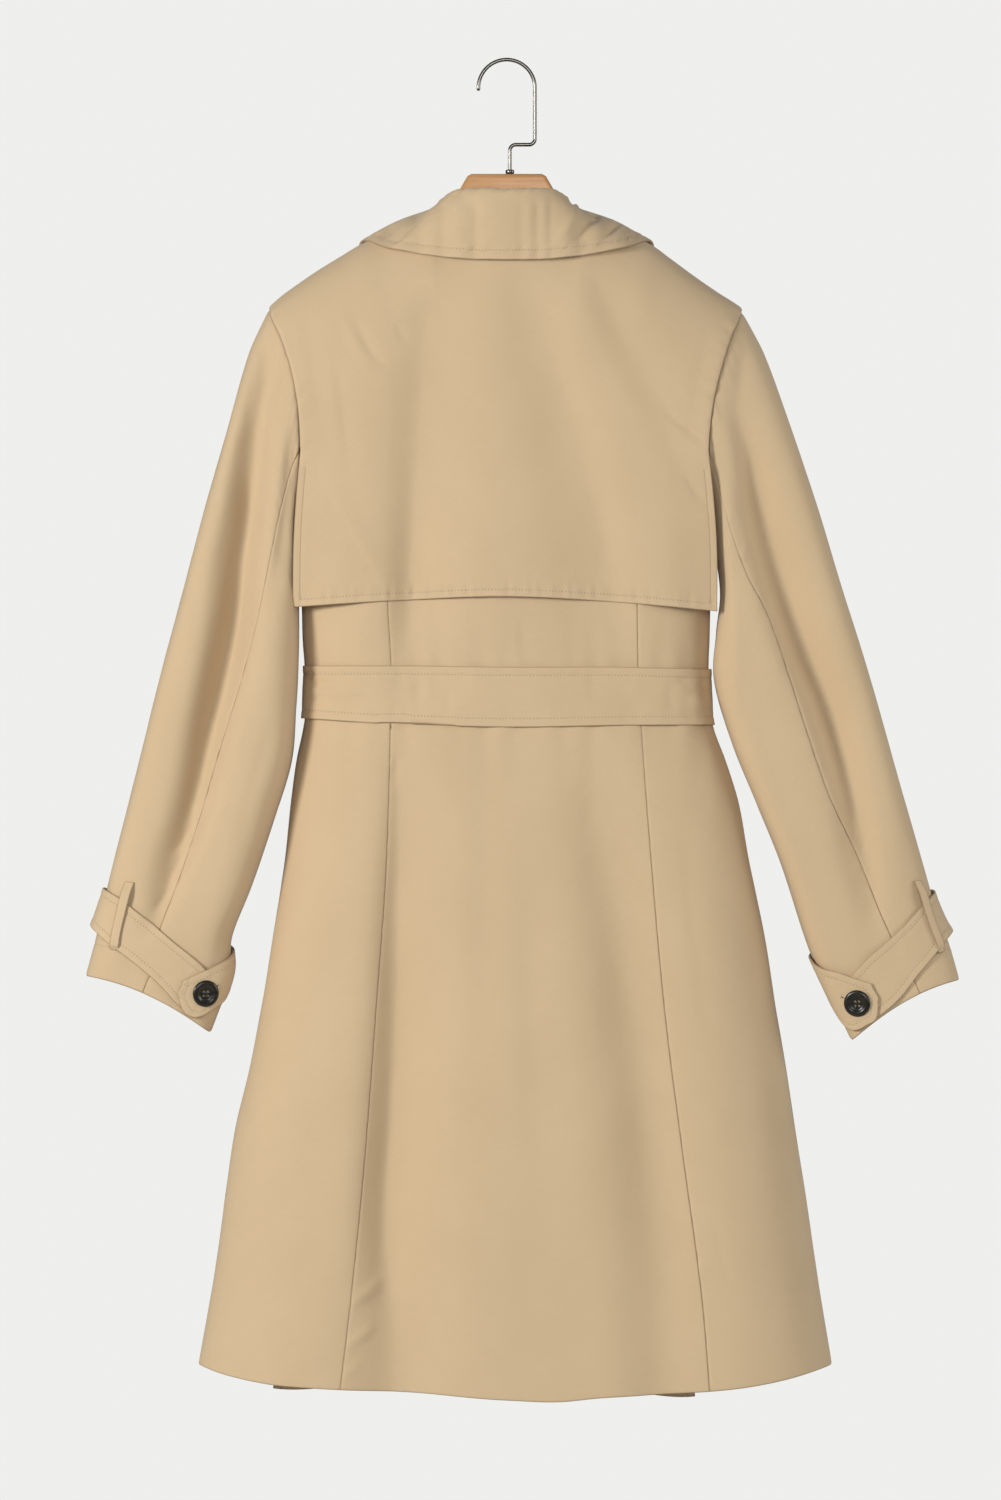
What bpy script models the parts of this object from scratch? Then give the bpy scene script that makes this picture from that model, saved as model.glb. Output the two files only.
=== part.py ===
"""A trench coat seen from behind, hung on a wooden clothes hanger with a bent wire hook.

The frame: +Z up, +X to the wearer's right, and the coat's back faces -Y. The origin is under the top of
the hook's arc, where the hook rests on what carries it. Lengths below are in millimetres.
"""

import math

import bmesh
import bpy
import numpy as np
from mathutils import Matrix, Vector

MM = 0.001
PIECES = "trench_coat"
GUIDES = "trench_coat_cutters"

# Cloth, as thick as it is once lined or doubled, and the clearances between layers
SHELL = 1.4
COLLAR = 2.0
STAND = 1.6
BELT = 1.8
STRAP = 1.6
LAPEL = 1.6
SEAM_GAP = 0.3
EDGE_GAP = 0.9
SLEEVE_GAP = 0.6
LAYER_GAP = 0.5
FRONTS_APART = 2.6
SHOULDER_ROWS = 3.0
STRAP_LIFT = SHELL / 2 + 1.4 * LAYER_GAP + STRAP / 2
TAB_LIFT = STRAP_LIFT + STRAP + LAYER_GAP
LAPEL_LIFT = {"left": (SHELL + LAPEL) / 2 + 0.9 * LAYER_GAP, "right": (SHELL + LAPEL) / 2 + 2.2 * LAYER_GAP}
# A button lies on a facet of the strap's end, which is inside the strap's curved line
BUTTON_LIFT = TAB_LIFT + STRAP / 2 - 1.2

# The coat's main heights
TIP_LEFT = (-201.2, -211.7)
TIP_RIGHT = (200.0, -214.3)
UNDERARM = -385.0
BELT_TOP = -516.5
BELT_BOTTOM = -567.5
HEM = -1111.0
HEM_SAG = 27.0
HEM_POWER = 2.3
FRONT_DROOP = 5.0
DROOP_WIDTH = 48.0
ARMHOLE_DEPTH = 47.0
NECK_HALF = 66.0
NECK_BACK = 42.0
NECK_DIP = 12.0
NECK_SLOPE = 0.35
RIDGE_ROUND = 118.0

# Rows from the shoulder to the underarm, the row under the middle of the belt, and panel columns
UPPER_ROWS = 8
WAIST_ROW = 13
SIDE_COLUMNS = 6
CENTRE_COLUMNS = 12
FRONT_COLUMNS = 16
SEAM_ROW = 5

# The shoulder ridge: distance from the middle, height on the left, height on the right
RIDGE = (
    (66.0, -129.0, -129.0),
    (90.0, -142.0, -142.0),
    (105.0, -150.0, -150.0),
    (125.0, -159.5, -160.0),
    (140.0, -168.5, -171.3),
    (160.0, -181.0, -186.0),
    (180.0, -194.5, -200.0),
    (192.0, -203.5, -207.5),
    (201.2, -211.7, -214.3),
)

# The armhole seams: height, x on the left, x on the right
ARMHOLE = (
    (-211.7, -201.2, 200.0),
    (-220.0, -199.5, 198.0),
    (-234.7, -192.7, 191.5),
    (-260.0, -184.0, 183.0),
    (-293.0, -177.4, 175.0),
    (-338.0, -174.8, 171.0),
    (-385.0, -176.0, 173.7),
)

# Level rings of the body: height, left side, right side, depth behind, depth in front, squareness
BODY = (
    (-385.0, -176.0, 173.7, 53.0, 56.0, 2.7),
    (-426.0, -174.8, 173.7, 53.0, 57.0, 2.7),
    (-467.0, -174.0, 173.2, 51.0, 56.0, 2.7),
    (-494.0, -173.0, 172.5, 49.0, 54.0, 2.7),
    (-516.5, -171.0, 171.5, 47.0, 53.0, 2.7),
    (-542.0, -171.5, 172.5, 47.0, 53.0, 2.7),
    (-567.5, -173.0, 175.0, 48.0, 53.0, 2.7),
    (-596.0, -178.2, 186.0, 50.0, 55.0, 2.6),
    (-626.0, -182.5, 195.8, 53.0, 57.0, 2.6),
    (-681.0, -188.4, 206.0, 57.0, 60.0, 2.5),
    (-752.0, -199.5, 220.4, 61.0, 63.0, 2.4),
    (-808.0, -208.8, 228.9, 63.0, 65.0, 2.4),
    (-859.0, -219.0, 237.4, 65.0, 67.0, 2.4),
    (-910.0, -230.9, 245.1, 66.0, 68.0, 2.3),
    (-961.0, -238.6, 253.6, 67.0, 69.0, 2.3),
    (-1012.0, -245.4, 261.2, 68.0, 70.0, 2.3),
    (-1063.0, -253.9, 268.9, 69.0, 71.0, 2.3),
    (-1111.0, -262.1, 276.5, 70.0, 72.0, 2.3),
)
LEVELS = tuple(row[0] for row in BODY)

# The two long back seams: height, x on the left, x on the right
BACK_SEAMS = (
    (-129.0, -104.0, 106.0),
    (-385.0, -102.0, 110.0),
    (-462.0, -101.0, 110.8),
    (-516.5, -98.3, 111.6),
    (-567.5, -98.8, 114.2),
    (-689.0, -102.6, 123.5),
    (-800.0, -111.0, 134.0),
    (-910.0, -119.6, 148.5),
    (-1038.0, -132.3, 166.0),
    (-1111.0, -141.0, 172.0),
)

# The front edges: height, x of the under front's edge, x of the over front's edge
FRONT_EDGES = (
    (-129.0, -66.0, 66.0),
    (-243.0, 0.0, 0.0),
    (-350.0, 58.0, -60.0),
    (-430.0, 84.0, -92.0),
    (-516.5, 100.0, -118.0),
    (-567.5, 104.0, -124.0),
    (-800.0, 128.0, -158.0),
    (-1111.0, 162.0, -200.0),
)

# Soft folds of the back: x and height of the upper end, x and height of the lower end, half width,
# depth at the upper end, depth at the lower end (a ridge has a negative depth). Each fades in over a
# share of its length at the top, and out below its lower end
FOLD_START = 0.25
FOLD_END = 0.12
BACK_FOLDS = (
    (-84.0, -212.0, -94.0, -452.0, 20.0, 2.0, 5.0),
    (28.0, -190.0, 78.0, -452.0, 24.0, 1.5, 4.0),
    (72.0, -185.0, 152.0, -350.0, 16.0, 1.5, 2.5),
    (-90.0, -590.0, -108.0, -1111.0, 20.0, 3.0, 11.0),
    (-45.0, -600.0, -55.0, -1111.0, 26.0, -1.0, -5.0),
    (2.0, -600.0, 12.0, -1111.0, 26.0, 1.5, 4.0),
    (80.0, -590.0, 100.0, -1111.0, 26.0, 2.5, 7.0),
    (160.0, -640.0, 190.0, -1111.0, 22.0, -1.0, -4.0),
    (-165.0, -620.0, -196.0, -1111.0, 26.0, -1.5, -5.0),
)
# The fronts hang in broader folds
FRONT_FOLDS = (
    (-90.0, -600.0, -130.0, -1111.0, 44.0, 1.0, 5.0),
    (20.0, -600.0, 30.0, -1111.0, 48.0, -1.0, -4.0),
    (110.0, -600.0, 150.0, -1111.0, 44.0, 1.0, 5.0),
)

# Sleeve sections: number, x and height of the outer edge, x and height of the inner edge,
# depth behind, depth in front, bow of the section towards the body
LEFT_SLEEVE = (
    (0, -201.6, -211.7, -177.9, -385.0, 47.0, 47.0, 11.5),
    (1, -219.0, -249.1, -178.4, -402.0, 46.0, 46.0, 8.0),
    (2, -240.3, -323.9, -178.3, -431.0, 45.0, 46.0, 4.0),
    (3, -258.1, -387.7, -178.0, -461.6, 44.0, 46.0, 1.0),
    (4, -275.1, -451.4, -177.8, -500.7, 43.0, 45.0, 0.0),
    (5, -292.1, -515.2, -179.9, -550.0, 43.0, 44.0, 0.0),
    (6, -308.3, -578.9, -184.2, -597.6, 42.0, 43.0, 0.0),
    (7, -324.4, -642.7, -199.5, -648.6, 41.0, 42.0, 0.0),
    (8, -337.2, -693.7, -217.3, -701.3, 39.0, 41.0, 0.0),
    (9, -346.5, -736.2, -235.2, -747.2, 37.0, 39.0, 0.0),
    (10, -351.6, -757.4, -236.0, -778.7, 36.0, 38.0, 0.0),
    (11, -357.6, -779.5, -253.5, -827.1, 36.0, 38.0, 0.0),
)
RIGHT_SLEEVE = (
    (0, 200.4, -214.3, 175.6, -385.0, 47.0, 47.0, -10.5),
    (1, 218.7, -249.1, 176.6, -402.0, 46.0, 46.0, -7.0),
    (2, 240.8, -311.2, 180.5, -429.3, 45.0, 46.0, -4.0),
    (3, 262.1, -374.9, 183.0, -456.5, 44.0, 46.0, -1.0),
    (4, 281.6, -438.7, 179.6, -488.8, 43.0, 45.0, 0.0),
    (5, 302.0, -504.1, 177.6, -526.2, 43.0, 44.0, 0.0),
    (6, 320.7, -568.7, 192.4, -578.9, 42.0, 43.0, 0.0),
    (7, 336.9, -625.7, 213.6, -631.6, 41.0, 42.0, 0.0),
    (8, 353.0, -680.9, 234.9, -684.3, 39.0, 41.0, 0.0),
    (9, 366.6, -727.7, 254.4, -744.7, 37.0, 39.0, 0.0),
    (10, 376.0, -753.2, 265.5, -772.7, 36.0, 38.0, 0.0),
    (11, 384.5, -782.9, 294.4, -833.9, 36.0, 38.0, 0.0),
)
# Where the back seam of a sleeve runs: section, angle from the outer edge on the left, on the right
SLEEVE_SEAM = (
    (0, 112.5, 112.5),
    (3, 110.0, 119.0),
    (5, 104.0, 117.0),
    (7, 90.0, 104.0),
    (8, 88.0, 94.0),
    (9, 88.0, 88.0),
    (11, 88.0, 88.0),
)
# The long trough of a sleeve: angle of its middle, half width in degrees, depth
SLEEVE_TROUGH = (62.0, 20.0, 3.0)
SLEEVE_CAP = 1.5
CUFF_LIFT = 8.0
LAST_SECTION = 11.0
SLEEVE_STOPS = (0.0, 0.4, 1.0, 2.0, 3.0, 4.0, 5.0, 6.0, 7.0, 8.0, 9.0, 9.5, 10.0, 10.5, 11.0)
ELBOW_ROW = 6

# Free lower part of the storm flap: share of the way down, left edge, right edge
FLAP_EDGES = (
    (0.0, -174.6, 170.8),
    (0.3, -178.4, 175.5),
    (0.6, -180.8, 178.3),
    (1.0, -181.6, 178.8),
)
FLAP_HEM = (-1.0, -466.0), (-0.5, -460.5), (0.0, -457.4), (0.45, -461.0), (1.0, -469.5)
FLAP_ROWS = 5
FLAP_BELOW_NECK = 0.5
FLAP_CAUGHT = 1.0
FLAP_FREE = 2.4
FLAP_DRAWN_IN = 5.0

# The collar from the middle of the back to its front end: station, rise of the stand, its lean towards
# the neck, and x, y and height of the fall's outer edge
COLLAR_LINE = (
    (0, 26.5, -3.0, 0.0, -57.0, -172.0),
    (1, 25.0, -2.0, 36.0, -54.5, -171.0),
    (2, 21.0, 2.0, 72.0, -44.5, -166.5),
    (3, 16.5, 7.0, 102.0, -33.0, -160.0),
    (4, 13.0, 11.0, 122.0, 0.0, -153.2),
    (5, 11.0, 9.0, 126.0, 26.0, -163.5),
    (6, 8.0, 6.0, 123.0, 42.5, -182.0),
    (7, 6.5, 4.0, 117.0, 51.0, -203.0),
)
COLLAR_END = 7
COLLAR_SHOULDER = 4
COLLAR_FRONT_ROWS = 2.0
COLLAR_INSET = 1.0
STAND_FOOT = SHELL / 2 + SEAM_GAP + 0.8
STAND_BULGE = 1.2
ROLL_RISE = 2.4
ROLL_REACH = 4.8
FALL_BULGE = 2.0
FALL_LINES = (0.0, 0.22, 0.48, 0.74, 1.0)

# The lapels: share of the way up the roll line from its foot, reach out over the front
LAPEL_REACH = ((0.0, 3.0), (0.35, 42.0), (0.7, 76.0), (1.0, 92.0))
LAPEL_ROWS = 7
LAPEL_DROP = 0.57
LAPEL_COLUMNS = 4
LAPEL_FOOT = {"left": 3.6, "right": 7.0}
LAPEL_TOP_ROW = 2.35
UNDER_LAPEL_SHARE = 0.8

# Cuff straps: angle from the sleeve's outer edge, falling through the hidden side to the button end,
# section number of the upper edge, section number of the lower edge
LEFT_STRAP = (
    (124.0, 9.85, 10.72),
    (90.0, 9.05, 10.45),
    (67.5, 8.72, 10.15),
    (45.0, 8.45, 9.75),
    (22.5, 8.31, 9.3),
    (0.0, 8.26, 9.05),
    (-60.0, 8.5, 9.4),
    (-120.0, 9.0, 9.95),
    (-180.0, 9.35, 10.35),
    (-202.5, 9.6, 10.6),
    (-225.0, 9.95, 10.86),
    (-247.0, 10.3, 10.84),
)
RIGHT_STRAP = (
    (122.0, 10.15, 10.8),
    (90.0, 9.7, 10.6),
    (67.5, 9.2, 10.38),
    (45.0, 8.85, 10.1),
    (22.5, 8.65, 9.8),
    (0.0, 8.55, 9.6),
    (-60.0, 8.7, 9.7),
    (-120.0, 9.2, 10.1),
    (-180.0, 9.75, 10.55),
    (-202.5, 9.98, 10.78),
    (-225.0, 10.15, 10.9),
    (-252.0, 10.36, 10.78),
)
STRAP_RISES = 150.0, 220.0
STRAP_LINES = (0.0, 0.33, 0.67, 1.0)
CARRIER = {"left": (46.0, 8.1, 10.05), "right": (33.0, 8.33, 10.27)}
CARRIER_SPREAD = 5.0
CARRIER_THICK = 1.2
CARRIER_BEND = 0.13
CARRIER_LINES = (0.0, 0.04, CARRIER_BEND, 0.35, 0.65, 1 - CARRIER_BEND, 0.96, 1.0)
BUTTON_AT = {"left": (137.8, 10.45), "right": (133.3, 10.65)}
BUTTON_HOLE = 1.1
BUTTON_HOLES_OUT = 2.3
# Half section of a button: distance from its axis, height
BUTTON_PROFILE = (
    (0.0, 2.0),
    (5.2, 2.0),
    (6.6, 2.6),
    (7.6, 3.4),
    (9.6, 3.4),
    (11.0, 2.7),
    (11.5, 1.8),
    (11.2, 1.0),
    (9.5, 0.3),
    (4.0, 0.0),
    (0.0, 0.0),
)

# Belt: the ends lie one over the other in front, over this share of the half ring
BELT_UNDER_END = -0.1
BELT_OVER_END = -0.42
BELT_LAPPED = 0.45

# Hanger: distance from the middle, height of its upper edge (None follows the shoulders), height of the bar
HANGER = (
    (0.0, -96.1, 34.0),
    (30.0, -96.1, 34.0),
    (33.5, -98.0, 33.0),
    (41.0, -111.0, 25.0),
    (52.0, -122.5, 21.0),
    (66.0, None, 18.5),
    (90.0, None, 17.0),
    (110.0, None, 16.0),
    (130.0, None, 15.5),
    (150.0, None, 15.0),
    (170.0, None, 14.5),
    (184.0, None, 12.0),
)
HANGER_CLEAR = 3.2
HANGER_THICK = 13.0
HANGER_ROUND = 3.2
WIRE = 1.6
HOOK_ARC = 24.1
HOOK_STEM_X = 2.7
HOOK_JOG = -71.0
HOOK_BEND = 5.0
FERRULE_RADIUS = 3.7
FERRULE_ROUND = 0.5
FERRULE_TOP = -92.4
WOOD_TOP = -96.1

CLOTH_COLOUR = (0.60, 0.44, 0.27, 1.0)
WOOD_COLOUR = (0.62, 0.34, 0.15, 1.0)
STEEL_COLOUR = (0.55, 0.55, 0.55, 1.0)
BUTTON_COLOUR = (0.03, 0.025, 0.015, 1.0)


def read(table, key):
    """The other columns of a table at a value of its first one, on a smooth curve through its rows."""
    rows = np.array(sorted(table), float)
    keys, values = rows[:, 0], rows[:, 1:]
    key = min(max(key, keys[0]), keys[-1])
    slopes = np.gradient(values, keys, axis=0)
    i = min(int(np.searchsorted(keys, key, side="right")) - 1, len(keys) - 2)
    span = keys[i + 1] - keys[i]
    u = (key - keys[i]) / span
    start = (2 * u**3 - 3 * u**2 + 1) * values[i] + (u**3 - 2 * u**2 + u) * span * slopes[i]
    end = (3 * u**2 - 2 * u**3) * values[i + 1] + (u**3 - u**2) * span * slopes[i + 1]
    return start + end


def ease(u):
    """A smooth step from 0 to 1."""
    u = min(max(u, 0.0), 1.0)
    return u * u * (3 - 2 * u)


def bow(u):
    """The height of a unit quarter circle that starts upright."""
    u = min(max(u, 0.0), 1.0)
    return math.sqrt(1 - (1 - u) ** 2)


def ridge(x):
    left, right = read(RIDGE, abs(x))
    return left if x < 0 else right


def top_of(half, x):
    """Height and depth of the body's upper edge: shoulder seam, then the neck."""
    if abs(x) >= NECK_HALF:
        return ridge(x), 0.0
    if half > 0:
        return ridge(NECK_HALF) + NECK_SLOPE * (NECK_HALF - abs(x)), 0.0
    inside = 1 - (x / NECK_HALF) ** 2
    return ridge(NECK_HALF) - NECK_DIP * inside, NECK_BACK * math.sqrt(inside)


def row_rise(row):
    """How far up the armhole an upper row lies: 1 at the shoulder, 0 at the underarm."""
    return (1 + math.cos(math.pi * row / UPPER_ROWS)) / 2


def level_of(row):
    """Height of a row below the underarm."""
    return float(np.interp(row - UPPER_ROWS, range(len(LEVELS)), LEVELS))


def row_of(level):
    """The row below the underarm that lies at this height."""
    return UPPER_ROWS + float(np.interp(-level, [-z for z in LEVELS], range(len(LEVELS))))


def middle_and_half(row):
    """Middle and half width of the body at a row."""
    if row >= UPPER_ROWS:
        left, right = read(BODY, level_of(row))[:2]
    else:
        rise = row_rise(row)
        left = read(ARMHOLE, UNDERARM + (TIP_LEFT[1] - UNDERARM) * rise)[0]
        right = read(ARMHOLE, UNDERARM + (TIP_RIGHT[1] - UNDERARM) * rise)[1]
    return (left + right) / 2, (right - left) / 2


def folds(table, x, z):
    """Depth of the folds at a place, fading in from each fold's upper end."""
    total = 0.0
    for top_x, top_z, low_x, low_z, width, top_depth, low_depth in table:
        down = (top_z - z) / (top_z - low_z)
        shown = ease(min(down, 0.0) / FOLD_START + 1) * ease((1 + FOLD_END - down) / FOLD_END)
        down = min(max(down, 0.0), 1.0)
        offset = (x - top_x - (low_x - top_x) * down) / width
        total += shown * (top_depth + (low_depth - top_depth) * down) * math.exp(-offset * offset)
    return total


def body_point(half, share, row, out=0.0, sides=False):
    """A point of the body: half is -1 behind and 1 in front, share runs from -1 to 1 across it.

    out moves it off the cloth. With sides the cloth stays flat at its edges, as the storm flap does.
    """
    across = math.sin(math.pi / 2 * share)
    middle, width = middle_and_half(row)
    x = middle + width * across
    if row < UPPER_ROWS:
        top_middle, top_width = (TIP_LEFT[0] + TIP_RIGHT[0]) / 2, (TIP_RIGHT[0] - TIP_LEFT[0]) / 2
        top, neck = top_of(half, top_middle + top_width * across)
        rise = row_rise(row)
        z = UNDERARM + (top - UNDERARM) * rise
        tip = TIP_LEFT[1] if across < 0 else TIP_RIGHT[1]
        armhole = (tip - UNDERARM) / 2
        roundness = armhole + (RIDGE_ROUND - armhole) * (1 - across**2)
        over = bow((top - z) / roundness)
        up = min(max((z - UNDERARM) / (2 * armhole), 0.0), 1.0)
        squareness = BODY[0][5]
        depth = BODY[0][3] if half < 0 else BODY[0][4]
    else:
        level = level_of(row)
        neck, over, up = 0.0, 1.0, 0.0
        back, front, squareness = read(BODY, level)[2:]
        depth = back if half < 0 else front
        sag = HEM_SAG * ease((BELT_BOTTOM - level) / (BELT_BOTTOM - HEM))
        z = level - sag * (1 - abs(across) ** HEM_POWER)
    edge = ARMHOLE_DEPTH * (1.0 if up >= 0.5 or sides else bow(2 * up))
    power = 1.0 if sides else 1.0 - 0.5 * ease(1 - 2 * up)
    y = edge + (depth - edge) * max(1 - abs(across) ** squareness, 0.0) ** power
    y = neck + (y - neck) * over
    table = BACK_FOLDS if half < 0 else FRONT_FOLDS
    y -= folds(table, x, z) * (1 - across**6)
    point = np.array([x, half * (y + EDGE_GAP / 2), z])
    if out:
        point += out * outward(half, share, row, sides)
    return point


def outward(half, share, row, sides=False):
    """The direction off the cloth."""
    step = 0.01
    low, high = max(share - step, -1.0), min(share + step, 1.0)
    along = body_point(half, high, row, 0.0, sides) - body_point(half, low, row, 0.0, sides)
    up = body_point(half, share, max(row - 0.05, 0.0), 0.0, sides)
    down = body_point(half, share, row + 0.05, 0.0, sides)
    normal = np.cross(down - up, along)
    normal /= np.linalg.norm(normal)
    guess = np.array([math.sin(math.pi / 2 * share), half * 0.6, 0.25])
    return normal if normal @ guess > 0 else -normal


def share_at(row, x):
    """The share across the body at which a row has this x."""
    middle, width = middle_and_half(row)
    return 2 / math.pi * math.asin(min(max((x - middle) / width, -1.0), 1.0))


def seam_shares(row):
    """The shares of the left and the right back seam at a row."""
    level = level_of(row) if row >= UPPER_ROWS else UNDERARM + (RIDGE[0][1] - UNDERARM) * row_rise(row)
    left, right = read(BACK_SEAMS, level)
    return share_at(row, left), share_at(row, right)


def edge_shares(row):
    """The shares of the under and the over front's edge at a row."""
    level = level_of(row) if row >= UPPER_ROWS else UNDERARM + (RIDGE[0][1] - UNDERARM) * row_rise(row)
    under, over = read(FRONT_EDGES, level)
    return share_at(row, under), share_at(row, over)


ROWS = tuple(range(UPPER_ROWS + len(LEVELS)))


def back_columns(row):
    """The shares at which the back's panels have their points, from the left side to the right."""
    left, right = seam_shares(row)
    outer_left = np.linspace(-1.0, left, SIDE_COLUMNS + 1)
    centre = np.linspace(left, right, CENTRE_COLUMNS + 1)
    outer_right = np.linspace(right, 1.0, SIDE_COLUMNS + 1)
    return np.concatenate([outer_left[:-1], centre, outer_right[1:]])


def drawn_in(strip, first, last, by=SEAM_GAP):
    """A row of points with an end moved in where it meets another panel."""
    strip = [np.array(p) for p in strip]
    if first:
        step = strip[1] - strip[0]
        strip[0] += step / np.linalg.norm(step) * by
    if last:
        step = strip[-2] - strip[-1]
        strip[-1] += step / np.linalg.norm(step) * by
    return strip


def collection(name):
    found = bpy.data.collections.get(name)
    if found is None:
        found = bpy.data.collections.new(name)
        bpy.context.scene.collection.children.link(found)
    return found


def material(name, colour, roughness, metallic=0.0):
    made = bpy.data.materials.new(name)
    made.use_nodes = True
    shader = made.node_tree.nodes["Principled BSDF"]
    shader.inputs["Base Color"].default_value = colour
    shader.inputs["Roughness"].default_value = roughness
    shader.inputs["Metallic"].default_value = metallic
    return made


def place(name, mesh, finish, group=PIECES):
    """Puts a finished mesh in the scene as a named object."""
    made = bpy.data.objects.new(name, mesh)
    collection(group).objects.link(made)
    mesh.materials.append(finish)
    mesh.shade_smooth()
    mesh.set_sharp_from_angle(angle=math.radians(40))
    return made


def cloth(name, rows, thick):
    """A sheet of cloth through rows of points, with its thickness half to each side."""
    points = np.array(rows, float) * MM
    count, across = points.shape[:2]
    mesh = bpy.data.meshes.new(name)
    faces = []
    for i in range(count - 1):
        for j in range(across - 1):
            corner = i * across + j
            faces.append((corner, corner + across, corner + across + 1, corner + 1))
    mesh.from_pydata([tuple(p) for p in points.reshape(-1, 3)], [], faces)
    made = place(name, mesh, material(name, CLOTH_COLOUR, 0.75))
    solid = made.modifiers.new("thickness", "SOLIDIFY")
    solid.thickness = thick * MM
    solid.offset = 0.0
    return made


def long_panel(rows, at, upper_name, lower_name):
    """A long panel in two sheets that meet at a row, so that convex hulls can match each of them."""
    columns = list(zip(*rows))
    upper = [drawn_in(column[: at + 1], False, True) for column in columns]
    lower = [drawn_in(column[at:], True, False) for column in columns]
    cloth(upper_name, list(zip(*upper)), SHELL)
    cloth(lower_name, list(zip(*lower)), SHELL)


def make_back():
    parts = {"back_side_left": [], "back_centre": [], "back_side_right": []}
    for row in ROWS:
        strip = [body_point(-1, share, row) for share in back_columns(row)]
        left, right = SIDE_COLUMNS, SIDE_COLUMNS + CENTRE_COLUMNS
        parts["back_side_left"].append(drawn_in(strip[: left + 1], False, True))
        parts["back_centre"].append(drawn_in(strip[left : right + 1], True, True))
        parts["back_side_right"].append(drawn_in(strip[right:], True, False))
    for name, rows in parts.items():
        long_panel(rows, WAIST_ROW, name + "_bodice", name + "_skirt")


def layer(share, row, over):
    """How far a front lies from the shared surface: the over front outside, the under front inside."""
    across = math.sin(math.pi / 2 * share)
    apart = FRONTS_APART / 2 * ease(row / SHOULDER_ROWS)
    return apart * ease((0.95 - across) / 0.3) if over else -apart * ease((across + 0.95) / 0.3)


def drooped(point, edge):
    """A front's point, lower near its front edge, where the skirt hangs a little longer."""
    near = ease(1 - abs(point[0] - edge[0]) / DROOP_WIDTH)
    down = ease((BELT_BOTTOM - point[2]) / (BELT_BOTTOM - HEM))
    return point - np.array([0.0, 0.0, FRONT_DROOP * near * down])


def make_fronts():
    under, over = [], []
    for row in ROWS:
        under_edge, over_edge = edge_shares(row)
        strip = np.linspace(-1.0, under_edge, FRONT_COLUMNS + 1)
        strip = [body_point(1, share, row, layer(share, row, False)) for share in strip]
        under.append([drooped(point, strip[-1]) for point in strip])
        strip = np.linspace(over_edge, 1.0, FRONT_COLUMNS + 1)
        strip = [body_point(1, share, row, layer(share, row, True)) for share in strip]
        over.append([drooped(point, strip[0]) for point in strip])
    long_panel(under, WAIST_ROW, "front_left_bodice", "front_left_skirt")
    long_panel(over, WAIST_ROW, "front_right_bodice", "front_right_skirt")


def flap_point(share, row):
    """A point of the storm flap. Its rows follow the back's, then hang free."""
    if row <= SEAM_ROW:
        return body_point(-1, share, row, SHELL + LAYER_GAP, True)
    across = math.sin(math.pi / 2 * share)
    down = (row - SEAM_ROW) / FLAP_ROWS
    start = body_point(-1, share, SEAM_ROW, SHELL + LAYER_GAP, True)
    left, right = read(FLAP_EDGES, down)
    hem = read(FLAP_HEM, across)[0]
    x = (left + right) / 2 + (right - left) / 2 * across
    z = start[2] + (hem - start[2]) * down
    depth = ARMHOLE_DEPTH + (BODY[0][3] - ARMHOLE_DEPTH) * (1 - abs(across) ** BODY[0][5])
    y = depth + SHELL + LAYER_GAP + FLAP_FREE * down - folds(BACK_FOLDS, x, z) * (1 - across**6)
    y -= FLAP_DRAWN_IN * ease((abs(across) - 0.75) / 0.25) * down
    return np.array([x, -(y + SEAM_GAP / 2), z])


def make_flap():
    rows = []
    for row in range(SEAM_ROW + FLAP_ROWS + 1):
        shares = back_columns(min(row, UPPER_ROWS))
        if row == 0:
            starts = [FLAP_BELOW_NECK * ease((0.4 - abs(share)) / 0.06) for share in shares]
            strip = [flap_point(share, start) for share, start in zip(shares, starts)]
        else:
            strip = [flap_point(share, row) for share in shares]
        rows.append(drawn_in(strip, True, True, FLAP_CAUGHT))
    cloth("storm_flap", rows, SHELL)


def neck_point(station, side):
    """A point of the neck seam: behind, then down the front's roll line."""
    if station <= COLLAR_SHOULDER:
        x = side * NECK_HALF * math.sin(math.pi / 2 * station / COLLAR_SHOULDER)
        return body_point(-1, share_at(0, x), 0)
    row = (station - COLLAR_SHOULDER) / (COLLAR_END - COLLAR_SHOULDER) * COLLAR_FRONT_ROWS
    under, over = edge_shares(row)
    share, outer = (over, True) if side > 0 else (under, False)
    return body_point(1, share, row, layer(share, row, outer))


def frames(path):
    """Along, up and outward directions at each point of a line round the neck, from left to right."""
    found = []
    for i in range(len(path)):
        along = path[min(i + 1, len(path) - 1)] - path[max(i - 1, 0)]
        along /= np.linalg.norm(along)
        up = np.array([0.0, 0.0, 1.0]) - along * along[2]
        up /= np.linalg.norm(up)
        found.append((up, np.cross(along, up)))
    return found


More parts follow.
